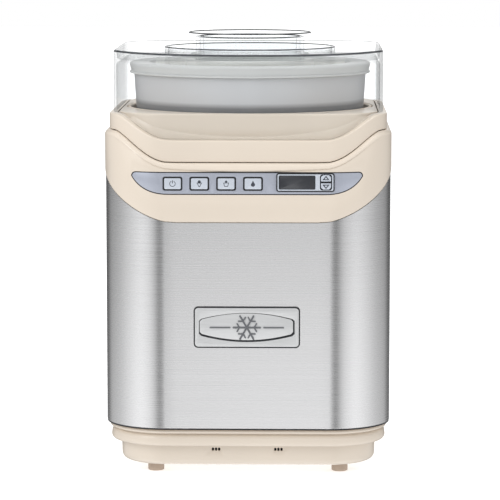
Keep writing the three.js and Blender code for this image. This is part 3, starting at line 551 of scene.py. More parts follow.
CREAM = moulded("cream_plastic", (221, 209, 194), 0.36, coat=0.4)
CREAM_INSIDE = moulded("cream_inside", (226, 214, 199), 0.48, 0.03)
STEEL = sleeve_steel()
RUBBER = rubber("foot_rubber", (184, 165, 148))
# Dark rubber of seals, seats and skirts, and of the sheets of painted shade behind the vents, under the
# sleeve's hem and round the badge.
DARK_SEAL_AND_PAINTED_SHADE = rubber("dark_seal_and_painted_shade", (30, 31, 36))
PANEL = lacquer("panel_lacquer", (178, 183, 196), 0.36)
BUTTON = lacquer("button_lacquer", (212, 219, 230), 0.34)
PRINT = moulded("printed_mark", (62, 66, 76), 0.5)
GLASS = display_glass()
BADGE = satin("badge_metal", (228, 229, 230))
# The dark greys here colour the painted refraction lines on the edges.
CLEAR = clear("clear_plastic", (52, 55, 60), 1.0, 0.4)
CLEAR_TUBE = clear("clear_tube", (52, 55, 60), 1.0, 0.06)
CLEAR_CAP = clear("clear_cap", (40, 42, 46), 0.15, 0.06)
EMBLEM = satin("emblem_metal", (120, 122, 126))
RIM = moulded("rim_plastic", (206, 207, 206), 0.36, coat=0.2)
SHELL = bowl_plastic_painted_shade()
ALUMINIUM = brushed("drawn_aluminium", (205, 207, 209), 0.34, (8, 8, 900)).material
GEL = moulded("coolant_gel", (150, 195, 220), 0.2, 0.05)
PADDLE = moulded("paddle_plastic", (238, 238, 233), 0.4, 0.02)
ACETAL = moulded("acetal", (235, 231, 218), 0.45)
DARK = moulded("dark_plastic", (60, 63, 67), 0.55, 0.04)
PLATED = machined("plated_steel", (160, 164, 168), 0.34)
BRONZE = machined("bronze", (176, 141, 84), 0.36)
BOARD = circuit_board()


# ---- placing pieces

def settle(piece, material, slot, *nodes, body="housing"):
    """Give a finished piece its material, its body and the CAD nodes that it stands for."""
    piece.data.materials.clear()
    piece.data.materials.append(material)
    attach(piece, body)
    if nodes:
        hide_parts(*nodes)


def plain(piece, *settings, **where):
    """Settle a piece that needs no more rounding."""
    settle(soften(piece, 0), *settings, **where)


# ---- base

def base_pan():
    """Stepped base with vents in front and below, and a tongue inside the sleeve."""
    step, crease = 23.7, 34.0  # heights: top of the lower band, and the groove under the lip
    band, bead, lip = 99.3, 107.5, 108.7  # half-widths of the lower band, the bead over it and the lip
    tongue = HALF - 1.6
    bottom, top = BASE_LOW.z, SLEEVE_LOW.z - GAP
    floor = bottom + 3
    outside = corner(band, bottom, 5, -90, 0) + [(band + 0.3, step - 0.6), (band + 0.9, step)]
    outside += [(bead - 3.2, step + 0.1)] + arc(bead - 3.2, step + 3.3, 3.2, -80, 0, 5)
    outside += arc(bead - 5.6, crease - 5.8, 5.6, 20, 62, 4) + [(bead - 2.6, crease)]
    outside += arc(lip - 1.5, crease + 1.6, 1.5, -70, 90, 7) + [(tongue, top)]
    inside = [(tongue, BASE_HIGH.z), (tongue - 2, BASE_HIGH.z), (bead - 3, crease - 1), (bead - 3, step + 3)]
    inside += [(band - 3, step + 1), (band - 3, floor + 3), (band - 6, floor)]
    pan = loft("base_moulding", squares(outside + inside), closed=False)
    vent_x, vent_z = 24.2, 20.4  # middle of each group of three vents
    slot_x, slot_y = 44, 20  # middle of each group of five slots below
    for side in (-1, 1):
        for i in (-1, 0, 1):
            vent = rounded(side * vent_x + i * 2.4, vent_z, 1.8, 2.6, 0.85, 5)
            cut(pan, facing("vent", vent, band - 8, band + 8))
        for i in range(-2, 3):
            slot = rounded(side * slot_x, slot_y + 12 * i, 46, 4, 1.9, 4)
            cut(pan, raised("slot", slot, bottom - 2, floor + 2))
    settle(soften(pan, 0.35, 2, 40), CREAM, "cream_plastic", "base_pan")
    # Painted shade inside the front vents: a dark sheet behind each group of three makes the holes read
    # dark.
    for side in (-1, 1):
        screen = rounded(side * vent_x, vent_z, 9, 5, 1)
        screen = facing(f"vent_painted_shade_{side}", screen, band - 4.4, band - 3.2)
        plain(screen, DARK_SEAL_AND_PAINTED_SHADE, "dark_plastic")


def foot(name):
    """A rubber pad on a stem that clips into the base."""
    low, high = in_mm(f"foot_{name}")
    x, y = (low.x + high.x) / 2, (low.y + high.y) / 2
    radius, stem, pad_top = (high.x - low.x) / 2, 3.2, 7.2
    sole = [(0, 0.5), (radius - 2.6, 0.5), (radius - 2.2, 0)] + corner(radius, 0, 0.9, -90, 0, 4)
    sole += [(radius, 5.6)] + corner(radius, pad_top, 0.9, 0, 90, 4)
    sole += [(stem, pad_top), (stem, 10.8), (stem + 1.2, 11.5), (stem, high.z), (0, high.z)]
    pad = turned(f"foot_pad_{name}", sole, 48, (x, y))
    plain(pad, RUBBER, "foot_rubber", f"foot_{name}")


# ---- housing

def steel_sleeve():
    """Thin steel round the body, up to the trim's seam, over a dark strip of painted shade under its hem."""
    edge = seam(TRIM_EDGE, -GAP)
    # Painted shade: a dark strip in the seam under the sleeve's hem, seen as a dark line along the base.
    shade_line_low, bottom = SLEEVE_LOW.z - 0.25, SLEEVE_LOW.z + 0.75
    shade_line_in, shade_line_out, shade_line_high = HALF - 1.4, HALF - 0.3, bottom - 0.05
    section = [(shade_line_in, shade_line_low), (shade_line_out, shade_line_low), (shade_line_out, shade_line_high), (shade_line_in, shade_line_high)]
    plain(loft("sleeve_painted_shade", squares(section)), DARK_SEAL_AND_PAINTED_SHADE, "dark_plastic")
    hem = [(HALF - 1, bottom + 1), (HALF - 0.8, bottom + 0.3), (HALF - 0.4, bottom)]
    hem += [(HALF - 0.1, bottom + 0.3), (HALF, bottom + 0.9)]
    sleeve = loft("steel_sleeve", squares(hem) + [square(HALF, edge), square(HALF - 1, edge)])
    x, z, _, _ = face_of("cord_gland")
    cut(sleeve, facing("gland_hole", arc(x, z, 8.3, 0, 352, 44), -HALF - 5, -HALF + 5))
    plain(sleeve, STEEL, "brushed_steel", "steel_wrap")


def panel_outline(grow=0.0, steps=12):
    """Outline of the control panel: straight above, swept up to a tip at each end."""
    top, bottom = PANEL_HIGH.z + grow, PANEL_LOW.z - grow
    tip = Vector((PANEL_HIGH.x + grow, 233.7))

    def bend(start, middle, end):
        a, b, c = Vector(start), Vector(middle), Vector(end)
        shares = [i / steps for i in range(steps + 1)]
        return [tuple(a * (1 - t) ** 2 + b * 2 * t * (1 - t) + c * t ** 2) for t in shares]

    right = bend((60, bottom), (80 + grow, bottom), tip) + bend(tip, (tip.x, top), (84.5, top))[1:]
    return right + [(-x, z) for x, z in reversed(right)]


def core(half):
    """A solid rounded square, a little taller than the panel."""
    return loft("core", squares([(half, PANEL_LOW.z - 10), (half, PANEL_HIGH.z + 10)]), closed=False)


def panel_band(name, inner, outer, grow=0.0):
    """A plate behind the panel's outline, between two half-widths of the body."""
    band = cut(facing(name, panel_outline(grow), *THROUGH_PANEL), core(inner))
    return boolean(band, core(outer), "INTERSECT")


def over(wider, radius, *nodes, taller=None):
    """A rounded outline over CAD nodes seen from the front, and so much wider and taller than them."""
    x, z, width, height = face_of(*nodes)
    return rounded(x, z, width + wider, height + (wider if taller is None else taller), radius)


def opening(*size_and_nodes, **taller):
    """A tool that cuts such an outline right through the front."""
    return facing("opening", over(*size_and_nodes, **taller), *THROUGH_FRONT)


def fade(along):
    """1 at the front centre, fading to 0 round the front corners."""
    return max(1 - (along / FADE_END) ** 3, 0)


def control_trim():
    """Cream band above the sleeve, with a ridge and a crease over the panel's pocket."""
    face, tongue = TRIM_HIGH.x, HALF - 1.6
    inside = HALF - 4.6
    top = seam(TRIM_TOP, -0.3)

    def middle(along):
        """1 at the front centre, fading to 0 past the ends of the panel."""
        return (1 - min(along / 84, 1) ** 2) ** 2

    def shoulder(share):
        """A rail on the shoulder, from the ridge over the panel at 0 up to the top edge at 1."""
        def half(along):
            return face + 1.1 * middle(along) * (1 - share) - 3.2 * share ** 1.6

        def height(along):
            return top(along) - (3.4 + 1.9 * middle(along)) * (1 - share) ** 1.25

        return square(half, height)

    def under_ridge(along):
        return top(along) - 3.8 - 3.1 * middle(along)

    rails = [square(face - 1.4 + out, seam(TRIM_EDGE, 1.4 + up)) for out, up in arc(0, 0, 1.4, -90, 0, 5)]
    rails += [square(face, lambda along: under_ridge(along) - 1.1)]
    rails += [square(lambda along: face - fade(along), under_ridge)]
    rails += [shoulder(i / 8) for i in range(9)]
    rails += [square(inside, top), square(inside, seam(TRIM_EDGE, 2))]
    rails += [square(tongue - 2, seam(TRIM_EDGE)), square(tongue - 2, seam(TRIM_EDGE, -6))]
    rails += [square(tongue, seam(TRIM_EDGE, -6)), square(tongue, seam(TRIM_EDGE))]
    trim = loft("trim_moulding", rails)
    pocket = facing("pocket", panel_outline(0.4), *THROUGH_PANEL)
    cut(trim, cut(pocket, core(-PANEL_LOW.y - 2.3)))
    cut(trim, *(opening(0.8, 1.4, name) for name in BUTTONS), opening(-1.2, 0.4, "display_bezel"))
    settle(soften(trim, 0.25, 2, 50), CREAM, "cream_plastic", "control_trim")


def top_deck():
    """Cream ring under the lid's wall, with a creased collar up to the bowl's opening."""
    ring, ledge, collar, mouth, top = DECK_HIGH.x, 101.9, 100.8, 98.2, DECK_HIGH.z
    gap, under = seam(TRIM_TOP, GAP), seam(RING_TOP, -2.6)

    def crease(along):
        """Height of the crease on the collar: low at the front, up to the top edge at the corners."""
        return min(RING_TOP["front"] + 2.6 + 17.4 * (along / 103) ** 2.4, top - 2.4)

    def collar_rail(below, out):
        """A rail `below` the crease, which stands out from it by `out` where the crease is deep."""
        return square(lambda along: collar + out * fade(along), lambda along: crease(along) - below)

    rails = [square(ring - 0.5, gap), square(ring, seam(TRIM_TOP, 0.8))]
    rails += [square(ring - 1.2 + out, seam(RING_TOP, up - 1.2)) for out, up in arc(0, 0, 1.2, 0, 90, 4)]
    rails += [square(ledge - out, seam(RING_TOP, up)) for out, up in arc(0, 0.5, 0.5, -90, 0, 3)[:-1]]
    crease_section = [(1.2, 0.4), (0.7, 0.05), (0.2, -0.55), (-0.3, -0.7), (-1.2, -0.5), (-2.0, -0.2)]
    rails += [collar_rail(below, out) for below, out in crease_section]
    rails += squares(corner(collar, top, 1.5, 0, 90, 5))
    rails += circles([(mouth + 0.6, top), (mouth, top - 0.6), (mouth, top - 3)])
    rails += [square(98.9, top - 3), square(99.3, under), square(ring - 2.6, under), square(ring - 2.6, gap)]
    plain(loft("deck_moulding", rails), CREAM, "cream_plastic", "top_deck")


def bowl_well():
    """The cup that the bowl stands in, with a hole in its floor for the shaft."""
    inner, outer, bore = 94.8, WELL_HIGH.x, 9.3
    floor, low, top = 152.0, WELL_LOW.z, WELL_HIGH.z
    profile = [(bore, low), (outer - 4, low)] + arc(outer - 4, low + 4, 4, -80, 0, 5)
    profile += [(outer, top - 0.4), (outer - 0.4, top), (inner + 0.8, top), (inner, top - 0.8)]
    profile += corner(inner, floor, 4, 0, -90) + [(bore, floor)]
    plain(turned("well_cup", profile), CREAM_INSIDE, "cream_plastic", "bowl_well")


# ---- controls

def fascia():
    """Blue-grey panel with openings for the buttons and the display, and a dark seam round it."""
    front = -PANEL_LOW.y
    panel = panel_band("fascia_plate", front - 2, front, -0.42)
    cut(panel, *(opening(2 * (GAP - FLANGE), 1.7, name) for name in BUTTONS))
    cut(panel, opening(-1.8, 1.4, "display_bezel"))
    settle(soften(panel, 0.2, 2, 50), PANEL, "panel_blue_grey", "control_fascia")
    seal = panel_band("fascia_seal", front - 2, front - 0.1, 0.38)
    cut(seal, facing("inside", panel_outline(-0.4), *THROUGH_FRONT))
    plain(seal, DARK_SEAL_AND_PAINTED_SHADE, "panel_blue_grey")


def frame_piece(name, outline_out, outline_in, back, front):
    """A flat frame between two outlines."""
    return cut(facing(name, outline_out, back, front), facing("hole", outline_in, back - 1, front + 1))


def mode_button(name, icon):
    """A silver cap in a dark skirt with a flange and a stem, and a mark on the cap."""
    low, high = in_mm(name)
    x, z, _, _ = face_of(name)
    front, face = -low.y, -PANEL_LOW.y
    skirt_rim = 0.95
    cap_outline = over(-2 * (FLANGE + skirt_rim), 1, name)
    cap = facing(f"{name}_cap", cap_outline, face - 1.5, front)
    settle(soften(cap, 0.4, 4, 50), BUTTON, "button_silver", name, body=name)
    skirt = facing(f"{name}_skirt", over(-2 * FLANGE, 1.5, name), face - 2.8, face + 0.25)
    soften(skirt, 0.2, 2, 50)
    join(skirt, facing("flange", over(0, 1, name), face - 3.6, face - 2.7),
         facing("stem", rounded(x, z, 6, 6, 0.6), -high.y + 0.05, face - 3.5))
    cut(skirt, facing("recess", cap_outline, face - 1.5, front + 1))
    plain(skirt, DARK_SEAL_AND_PAINTED_SHADE, "display_dark", name, body=name)
    for i, outline in enumerate(icon):
        placed = [(x + ICON_SCALE * a, z + ICON_SCALE * b) for a, b in outline]
        mark = facing(f"{name}_mark_{i + 1}", placed, front - 0.05, front + 0.06)
        plain(mark, PRINT, "display_dark", body=name)


def bar(x, y, width, height, turn=0.0):
    """A rounded bar as an outline, turned about its middle."""
    across, up = cos(radians(turn)), sin(radians(turn))
    outline = rounded(0, 0, width, height, min(width, height) * 0.48, 4)
    return [(x + a * across - b * up, y + a * up + b * across) for a, b in outline]


def ahead(x, y, length, turn):
    """The point at a distance from x, y, in a direction given in degrees."""
    return x + length * cos(radians(turn)), y + length * sin(radians(turn))


def icons():
    """Generic marks: a power sign, a cone, a cup and a drop."""
    power = [bar(*ahead(0, 0, 1.9, turn), 0.45, 1.0, turn) for turn in range(-230, 51, 28)]
    power.insert(0, bar(0, 1.3, 0.5, 2.2))
    cone = [bar(-0.8, -0.9, 0.42, 3.2, 27), bar(0.8, -0.9, 0.42, 3.2, -27), bar(0, 0.5, 3.6, 0.42)]
    cone += [arc(0, 1.3, 1.1, 0, 352, 22)]
    cup = [bar(0, 0.6, 3.8, 0.42), bar(-1.4, -0.6, 0.42, 2.4, 15), bar(1.4, -0.6, 0.42, 2.4, -15)]
    cup += [bar(0, -1.8, 2.4, 0.42), arc(0, 1.5, 0.8, 0, 352, 22)]
    drop = [arc(0, -0.6, 1.4, -235, 55, 20) + [(0, 2.4)]]
    return [power, cone, cup, drop]


def display():
    """Silver bezel round the dark lens and the two keys, with a dark seam round it."""
    face, whole = -PANEL_LOW.y, "display_bezel"
    bezel = facing("bezel_frame", over(-1.3, 1.1, whole), face + GAP, -BEZEL_LOW.y)
    soften(bezel, 0.35, 3, 50)
    join(bezel, facing("plug", over(-2.6, 1, whole), -BEZEL_HIGH.y, face + GAP + 0.2))
    cut(bezel, opening(0.6, 0.9, "display_lens"), opening(-1.2, 2, *KEYS, taller=0.6))
    plain(bezel, BUTTON, "button_silver", whole)
    lens = facing("lens_glass", over(0, 0.8, "display_lens"), -LENS_HIGH.y, -LENS_LOW.y)
    settle(soften(lens, 0.3, 3, 50), GLASS, "display_dark", "display_lens")
    outer, inner = over(0.5, 1.7, whole), over(-1.2, 1.1, whole)
    plain(frame_piece("bezel_seal", outer, inner, face + 0.05, face + 0.55), DARK_SEAL_AND_PAINTED_SHADE, "display_dark")


def key_outline(name, outward, scale):
    """Outline of a timer key: a rectangle with its outer corners cut off, scaled about its middle."""
    x, z, width, height = face_of(name)
    ear, cut_off = 0.9, 1.8
    half, tall = width / 2 - ear, height / 2
    right = [(half, -tall), (half, tall - cut_off), (half - cut_off, tall)]
    shape = right + [(-a, b) for a, b in reversed(right)]
    return [(x + a * scale, z + outward * b * scale) for a, b in shape]


def timer_key(name, outward):
    """A key held by an ear on each side, with a triangle on it that points outward."""
    low, high = in_mm(name)
    x, z, _, _ = face_of(name)
    ears, front = 107.0, -low.y

    def triangle(tip, half, base):
        return [(x + a, z + outward * b) for a, b in [(0, tip), (-half, base), (half, base)]]

    cap = facing(f"{name}_cap", key_outline(name, outward, 0.88), ears - 0.1, front)
    soften(cap, 0.4, 3, 50)
    join(cap, facing("ears", over(0, 0.3, name), -high.y, ears))
    plain(cap, BUTTON, "button_silver", name, body=name)
    outer, inner = triangle(2, 2.7, -1.4), triangle(0.85, 1.2, -0.75)
    mark = frame_piece(f"{name}_mark", outer, inner, front - 0.1, front + 0.07)
    plain(mark, PRINT, "display_dark", body=name)


def key_seat():
    """Dark seat behind the two keys, seen as the thin line round them."""
    back, front = 109.6, 111.4
    seat = facing("key_seat", over(-1.4, 2, *KEYS, taller=0.4), back, front)
    for name, outward in KEYS.items():
        cut(seat, facing("hole", key_outline(name, outward, 0.965), *THROUGH_FRONT))
    plain(seat, DARK_SEAL_AND_PAINTED_SHADE, "display_dark")


# ---- badge

def badge():
    """Plate on the sleeve, a dark groove round a raised boss, and painted shadow as a dark frame round it.
    """
    x, z, _, _ = face_of("badge_plate")
    back, front = -BADGE_HIGH.y, -BADGE_LOW.y
    face = facing("badge_face", over(-2.1, 2.6, "badge_plate"), back, front)
    cut(face, facing("groove", barrel(x, z, 0), front - 0.4, front + 1))
    settle(soften(face, 0.15, 2, 50), BADGE, "badge_metal", "badge_plate")
    # Painted shadow: a dark frame behind the plate, seen as a dark line round it.
    outer, inner = over(0, 3.5, "badge_plate"), over(-2, 2.6, "badge_plate")
    seal = frame_piece("badge_painted_shadow", outer, inner, back - 0.1, back + 0.6)
    settle(soften(seal, 0.15, 2, 50), DARK_SEAL_AND_PAINTED_SHADE, "badge_metal")
    bed = facing("badge_bed", barrel(x, z, -0.02), front - 0.4, front - 0.25)
    plain(bed, DARK_SEAL_AND_PAINTED_SHADE, "badge_metal")
    boss = facing("badge_boss", barrel(x - 0.35, z + 0.55, -0.95), front - 0.3, front + 0.1)
    settle(soften(boss, 0.15, 2, 50), BADGE, "badge_metal")
    emblem(z, front + 0.1)


def barrel(x, z, grow, steps=14):
    """A wide shape with straight sides, and a top and a bottom that bow outwards."""
    half, side, middle = 36.7 + grow, 6.6 + grow, 11.3 + grow
    bevel = 1.6
    shares = [1 - 2 * i / steps for i in range(steps + 1)]
    bow = [((half - bevel) * share, middle - (middle - side) * share ** 2) for share in shares]
    top = [(half, side - bevel)] + bow + [(-half, side - bevel)]
    return [(x + a, z + b) for a, b in top] + [(x - a, z - b) for a, b in top]


def emblem(z, front):
    """A six-armed snowflake between two rails."""
    arm, branch, fork = (EMBLEM_HIGH.z - EMBLEM_LOW.z) / 2 * 1.1, 4.0, 0.52
    outlines = []
    for turn in range(0, 360, 60):
        outlines.append(bar(*ahead(0, 0, arm / 2, turn), arm, 1.3, turn))
        for lean in (turn - 60, turn + 60):
            middle = ahead(*ahead(0, 0, arm * fork, turn), branch / 2, lean)
            outlines.append(bar(*middle, branch, 1.0, lean))
    for side in (-1, 1):
        rail_middle = side * (EMBLEM_HIGH.x + arm) / 2 * 0.98
        outlines.append(bar(rail_middle, 0, (EMBLEM_HIGH.x - arm) * 0.8, 1.0))
    # Each bar is a little lower than the one before, so that no two faces share a plane.
    bars = [facing(f"flake_{i}", [(a, z + b) for a, b in outline], front - 0.1, -EMBLEM_LOW.y - 0.001 * i)
            for i, outline in enumerate(outlines)]
    flake = join(*bars)
    flake.name = "badge_flake"
    settle(soften(flake, 0.12, 2, 50), EMBLEM, "badge_metal", "badge_emblem")


# ---- lid

FINE = 12  # steps of a round edge that is too smooth to show as a line
FAINT = 8  # steps of a round edge that shows as a faint line


def mark_edges(piece):
    """Store how sharply the surface turns at each point: 0 where it is nearly flat."""
    flat, sharp = 9, 15  # degrees between two faces that show no line, and a full line
    tool = bmesh.new()
    tool.from_mesh(piece.data)
    marks = []
    for vertex in tool.verts:
        turn = degrees(max(edge.calc_face_angle(0) for edge in vertex.link_edges))
        marks.append(min(max((turn - flat) / (sharp - flat), 0), 1))
    tool.free()
    layer = piece.data.attributes.new("edge", "FLOAT", "POINT")
    layer.data.foreach_set("value", marks)
    return piece


def settle_clear(piece, material, node, body):
    """Settle a clear piece, with its edges marked."""
    plain(mark_edges(piece), material, "clear_plastic", node, body=body)


def lid():
    """Wall on the deck, and a plate with a raised ring and a hole for the spout."""
    half, wall = LID_HIGH.x, 2.2
    inside = half - wall
    ring_top, plate_top, plate_under = LID_HIGH.z, 321.0, 318.8
    ring, hole = 68.0, SPOUT_HIGH.x - 3 + GAP
    rim = seam(LID_TOP)

    def edge(along):
        """Radius of the rim's outer edge, which is fuller in front and round the front corners."""
        return 1.7 - 1.2 * min(max(along - 130, 0) / 70, 1)

    def rim_rail(degrees):
        """A rail on the rim's outer edge, from the wall at 0 up to the top at 90."""
        inwards, downwards = 1 - cos(radians(degrees)), 1 - sin(radians(degrees))
        return square(lambda along: half - edge(along) * inwards,
                      lambda along: rim(along) - edge(along) * downwards)

    def foot_rails(middle, start, end, steps):
        """Half of the rounded foot of the wall, which stands on the deck's ring."""
        return [square(middle + out, seam(RING_TOP, 2 * GAP + 0.4 + up))
                for out, up in arc(0, 0, 0.4, start, end, steps)]

    rails = foot_rails(half - 0.4, -90, 0, FAINT)
    rails += [rim_rail(degrees) for degrees in range(0, 91, 15)]
    rails += [square(inside + 0.4 + out, seam(LID_TOP, up - 0.4))
              for out, up in arc(0, 0, 0.4, 90, 180, FINE)]
    rails += squares(arc(inside - 2.2, plate_top + 1.4, 1.4, 0, -90, FINE))
    section = corner(ring, plate_top, 0.8, -90, -180, FINE) + corner(ring, ring_top, 1, 0, 90)
    section += corner(ring - 2.4, ring_top, 0.8, 90, 180, FAINT)
    section += corner(ring - 2.4, plate_top, 0.8, 0, -90, FINE)
    section += corner(hole, plate_top, 0.5, 90, 180, FINE) + corner(hole, plate_under, 0.5, 180, 270, FINE)
    rails += circles(section)
    rails += squares(corner(inside, plate_under, 2, 90, 0, FINE))
    rails += foot_rails(inside + 0.4, 180, 270, FINE)
    settle_clear(loft("lid_shell", rails), CLEAR, "lid", "lid")


def lid_spout():
    """Filling tube, held in the lid's hole by its flange."""
    bore, outer, flange = 41.0, 43.2, SPOUT_HIGH.x
    bottom, seat, shelf, top = SPOUT_LOW.z, 321.3, 322.9, SPOUT_HIGH.z
    profile = corner(outer, bottom, 0.6, -90, 0, FINE) + corner(outer, seat, 0.4, 180, 90, FINE)
    profile += corner(flange, seat, 0.5, -90, 0, FINE) + corner(flange, shelf, 0.6, 0, 90, FAINT)
    profile += corner(outer, shelf, 0.8, -90, -180, FINE) + corner(outer, top, 0.8, 0, 90, FAINT)
    profile += corner(bore, top, 0.8, 90, 180, FAINT) + corner(bore, bottom, 0.6, 180, 270, FINE)
    settle_clear(turned("spout_tube", profile), CLEAR_TUBE, "lid_spout", "lid")


def spout_cap():
    """Disc that covers the spout, with a neck that goes inside it."""
    radius, neck, wall = CAP_HIGH.x, 39.6, 2.2
    inner, low, disc, top = neck - wall, CAP_LOW.z, 336.8, CAP_HIGH.z
    profile = [(0, disc + 0.4)] + corner(inner, disc + 0.4, 0.8, 90, 0, FINE)
    profile += corner(inner, low, 0.6, 180, 270, FINE) + corner(neck, low, 0.6, -90, 0, FINE)
    profile += corner(neck, disc, 1, 180, 90) + corner(radius, disc, 1, -90, 0, FINE)
    profile += corner(radius, top, 1.2, 0, 90) + [(0, top)]
    settle_clear(turned("cap_disc", profile), CLEAR_CAP, "spout_cap", "cap")


# ---- freezer bowl and paddle

def lobed(grow, steps=96):
    """Outline with six round lobes, for the drive plate and the socket that fits on it."""
    def radius(angle):
        return 19 + grow + 2.5 * cos(6 * angle)

    angles = [i * 2 * pi / steps for i in range(steps)]
    return [(radius(angle) * cos(angle), radius(angle) * sin(angle)) for angle in angles]


def bowl_shell():
    """Outer shell of the bowl, with a hub below and the drive socket in it."""
    wide, foot, wall, hub = SHELL_HIGH.x, 84.0, 2.5, 26.0
    low, bottom, hub_top, top = SHELL_LOW.z, 165.0, 172, SHELL_HIGH.z
    profile = [(0, low), (hub - 0.6, low), (hub, low + 0.6), (hub, bottom)]
    profile += corner(foot, bottom, 8, -90, 0, 8)
    profile += [(wide, top), (wide - wall, top), (foot - wall, bottom + 9)]
    profile += corner(foot - wall, bottom + wall, 5.5, 0, -90)
    profile += [(hub, bottom + wall), (hub, hub_top), (0, hub_top)]
    shell = turned("bowl_shell", profile)
    cut(shell, raised("socket", lobed(0.7), low - 1, 168.5))
    plain(shell, SHELL, "bowl_shell_grey", "bowl_outer", body="freezer_bowl")


def bowl_liner():
    """Aluminium cup that the ice cream is made in."""
    foot, mouth, low, top = 77.0, 80, 186.0, SHELL_HIGH.z
    bend, thick = 12.0, 1.5
    outside = [(0, low - thick)] + arc(foot - bend, low + bend, bend + thick, -90, 0, 8)
    outside += [(mouth + thick, top)]
    inside = [(mouth, top)] + corner(foot, low, bend, 0, -90, 8) + [(0, low)]
    liner = turned("bowl_inner", outside + inside)
    plain(liner, ALUMINIUM, "liner_aluminium", "bowl_liner", body="freezer_bowl")


def bowl_rim():
    """Rounded rim over the shell and the liner, with a bead round its foot."""
    rim, hole, low, high = RIM_HIGH.x, 79.8, RIM_LOW.z, RIM_HIGH.z
    bead = 0.9
    profile = [(hole, low + 0.6), (hole + 0.6, low), (rim - 1.2, low)]
    profile += arc(rim - bead, low + bead, bead, -80, 80) + [(rim - 1.2, low + 2.1)]
    profile += corner(rim, high, 2.4, 0, 90) + corner(hole, high, 2, 90, 180)
    rim_ring = turned("bowl_rim_ring", profile)
    plain(rim_ring, RIM, "bowl_rim_white", "bowl_rim", body="freezer_bowl")


def mixing_paddle():
    """Flat blade with two arms and a spike, hung from a collar."""
    top, bottom, reach = PADDLE_HIGH.z, PADDLE_LOW.z, PADDLE_HIGH.x
    ring, hole, arm = 51.0, 44.6, 13.0
    shelf, floor = 306.0, bottom + 15
    inner = reach - arm
    right = [(0, bottom)] + corner(reach, bottom, 9, -90, 0)
    right += [(reach, top), (ring - 1, top), (ring - 1, shelf)] + corner(inner, shelf, 9, 90, 0)
    right += corner(inner, floor, 9, 0, -90)
    right += [(22, floor), (12, floor + 2.4), (5, floor + 8), (0, floor + 24)]
    left = [(-x, z) for x, z in reversed(right[1:-1])]
    blade = prism("paddle_blade", right + left, lambda x, z, level: (x, level, z), -2, 2)
    soften(blade, 0.8, 3, 50)
    collar = turned("collar", [(hole, shelf), (ring, shelf), (ring, top), (hole, top)], 96)
    join(blade, soften(collar, 0.6, 3, 50))
    plain(blade, PADDLE, "paddle_white", "mixing_paddle", body="paddle")


# ---- drive and gland

def drive_plate():
    """Turntable with a raised rim that the bowl stands on, and lobes that drive it."""
    rim, well, hub, bore = PLATE_HIGH.x, 34.0, 11.0, 6.3
    low, disc, deck, seat, boss = PLATE_LOW.z, 156.0, 159.0, 164.7, PLATE_HIGH.z
    profile = [(bore, low), (hub, low), (hub, disc), (rim - 1, disc), (rim, disc + 1), (rim, seat - 1)]
    profile += [(rim - 1, seat), (well + 1, seat), (well, seat - 1), (well, deck), (bore, deck)]
    lobes = soften(raised("lobes", lobed(0), deck - 0.4, boss), 0.6, 3, 50)
    cut(lobes, raised("bore", arc(0, 0, bore, 0, 352, 44), low, deck + 1.3))
    turntable = join(turned("turntable", profile, 96), lobes)
    plain(turntable, DARK, "dark_plastic", "drive_plate", body="turntable")


def cord_gland():
    """Round gland with a flange on each side of the sleeve, turned and laid along Y."""
    low, high = in_mm("cord_gland")
    x, z, width, _ = face_of("cord_gland")
    flange, body, bore = width / 2, 8.0, 3.5
    wall_in, wall_out = HALF - 1.3, HALF + 0.3
    inner_face = low.y + 5.5
    profile = [(bore + 0.6, low.y), (body, low.y), (body, inner_face), (flange, inner_face)]
    profile += [(flange, wall_in), (body, wall_in), (body, wall_out), (flange, wall_out)]
    profile += corner(flange, high.y, 1, 0, 90, 5)
    profile += corner(bore, high.y, 1, 90, 180, 5) + [(bore, low.y + 0.6)]
    gland = turned("gland_body", profile, 64)
    lay_down = Matrix.Rotation(-pi / 2, 4, "X")
    gland.data.transform(Matrix.Translation((x * MM, 0, z * MM)) @ lay_down)
    plain(gland, DARK, "dark_plastic", "cord_gland")


def carried_over_nodes():
    """CAD nodes that keep their shape get better materials."""
    screws = [f"base_screw_{name}" for name in CORNERS] + [f"gearbox_screw_{i + 1}" for i in range(4)]
    kept = [
        (PLATED, screws + ["drive_shaft", "idler_pin", "motor_shaft", "motor_can"]),
        (CREAM_INSIDE, [f"post_{name}" for name in CORNERS]),
        (DARK, ["gearbox_tray", "gearbox_cover"]),
        (ACETAL, ["output_gear", "idler_gear"]),
        (BRONZE, ["shaft_bush", "motor_pinion"]),
        (BOARD, ["control_board", "power_board"]),
        (GEL, ["coolant_gel"])]
    for material, nodes in kept:
        for node in nodes:
            materials = frame["nodes"][node].data.materials
            materials.clear()
            materials.append(material)


# ---- studio

# Brightness seen in gloss: by the angle from the front, over half a turn, and from below to above.
AROUND = [(0.0, 0.72), (0.03, 0.68), (0.045, 0.2), (0.09, 0.2), (0.125, 0.44), (0.18, 0.6), (0.28, 0.72),
          (0.35, 0.7), (0.45, 0.6), (0.56, 0.46), (0.74, 0.33), (0.82, 0.12), (0.91, 0.12), (0.97, 0.74)]
GLOSS_UPWARDS = [(0.0, 3.0), (0.18, 2.4), (0.28, 1.1), (0.36, 2.15), (0.43, 1.05), (0.5, 0.6), (0.535, 0.6),
                 (0.56, 1.4), (0.61, 1.4), (0.68, 0.7), (1.0, 1.1)]
SOFT_UPWARDS = [(0.0, 1.4), (0.3, 1.05), (0.46, 0.9), (0.5, 0.9), (0.7, 0.96), (1.0, 1.4)]


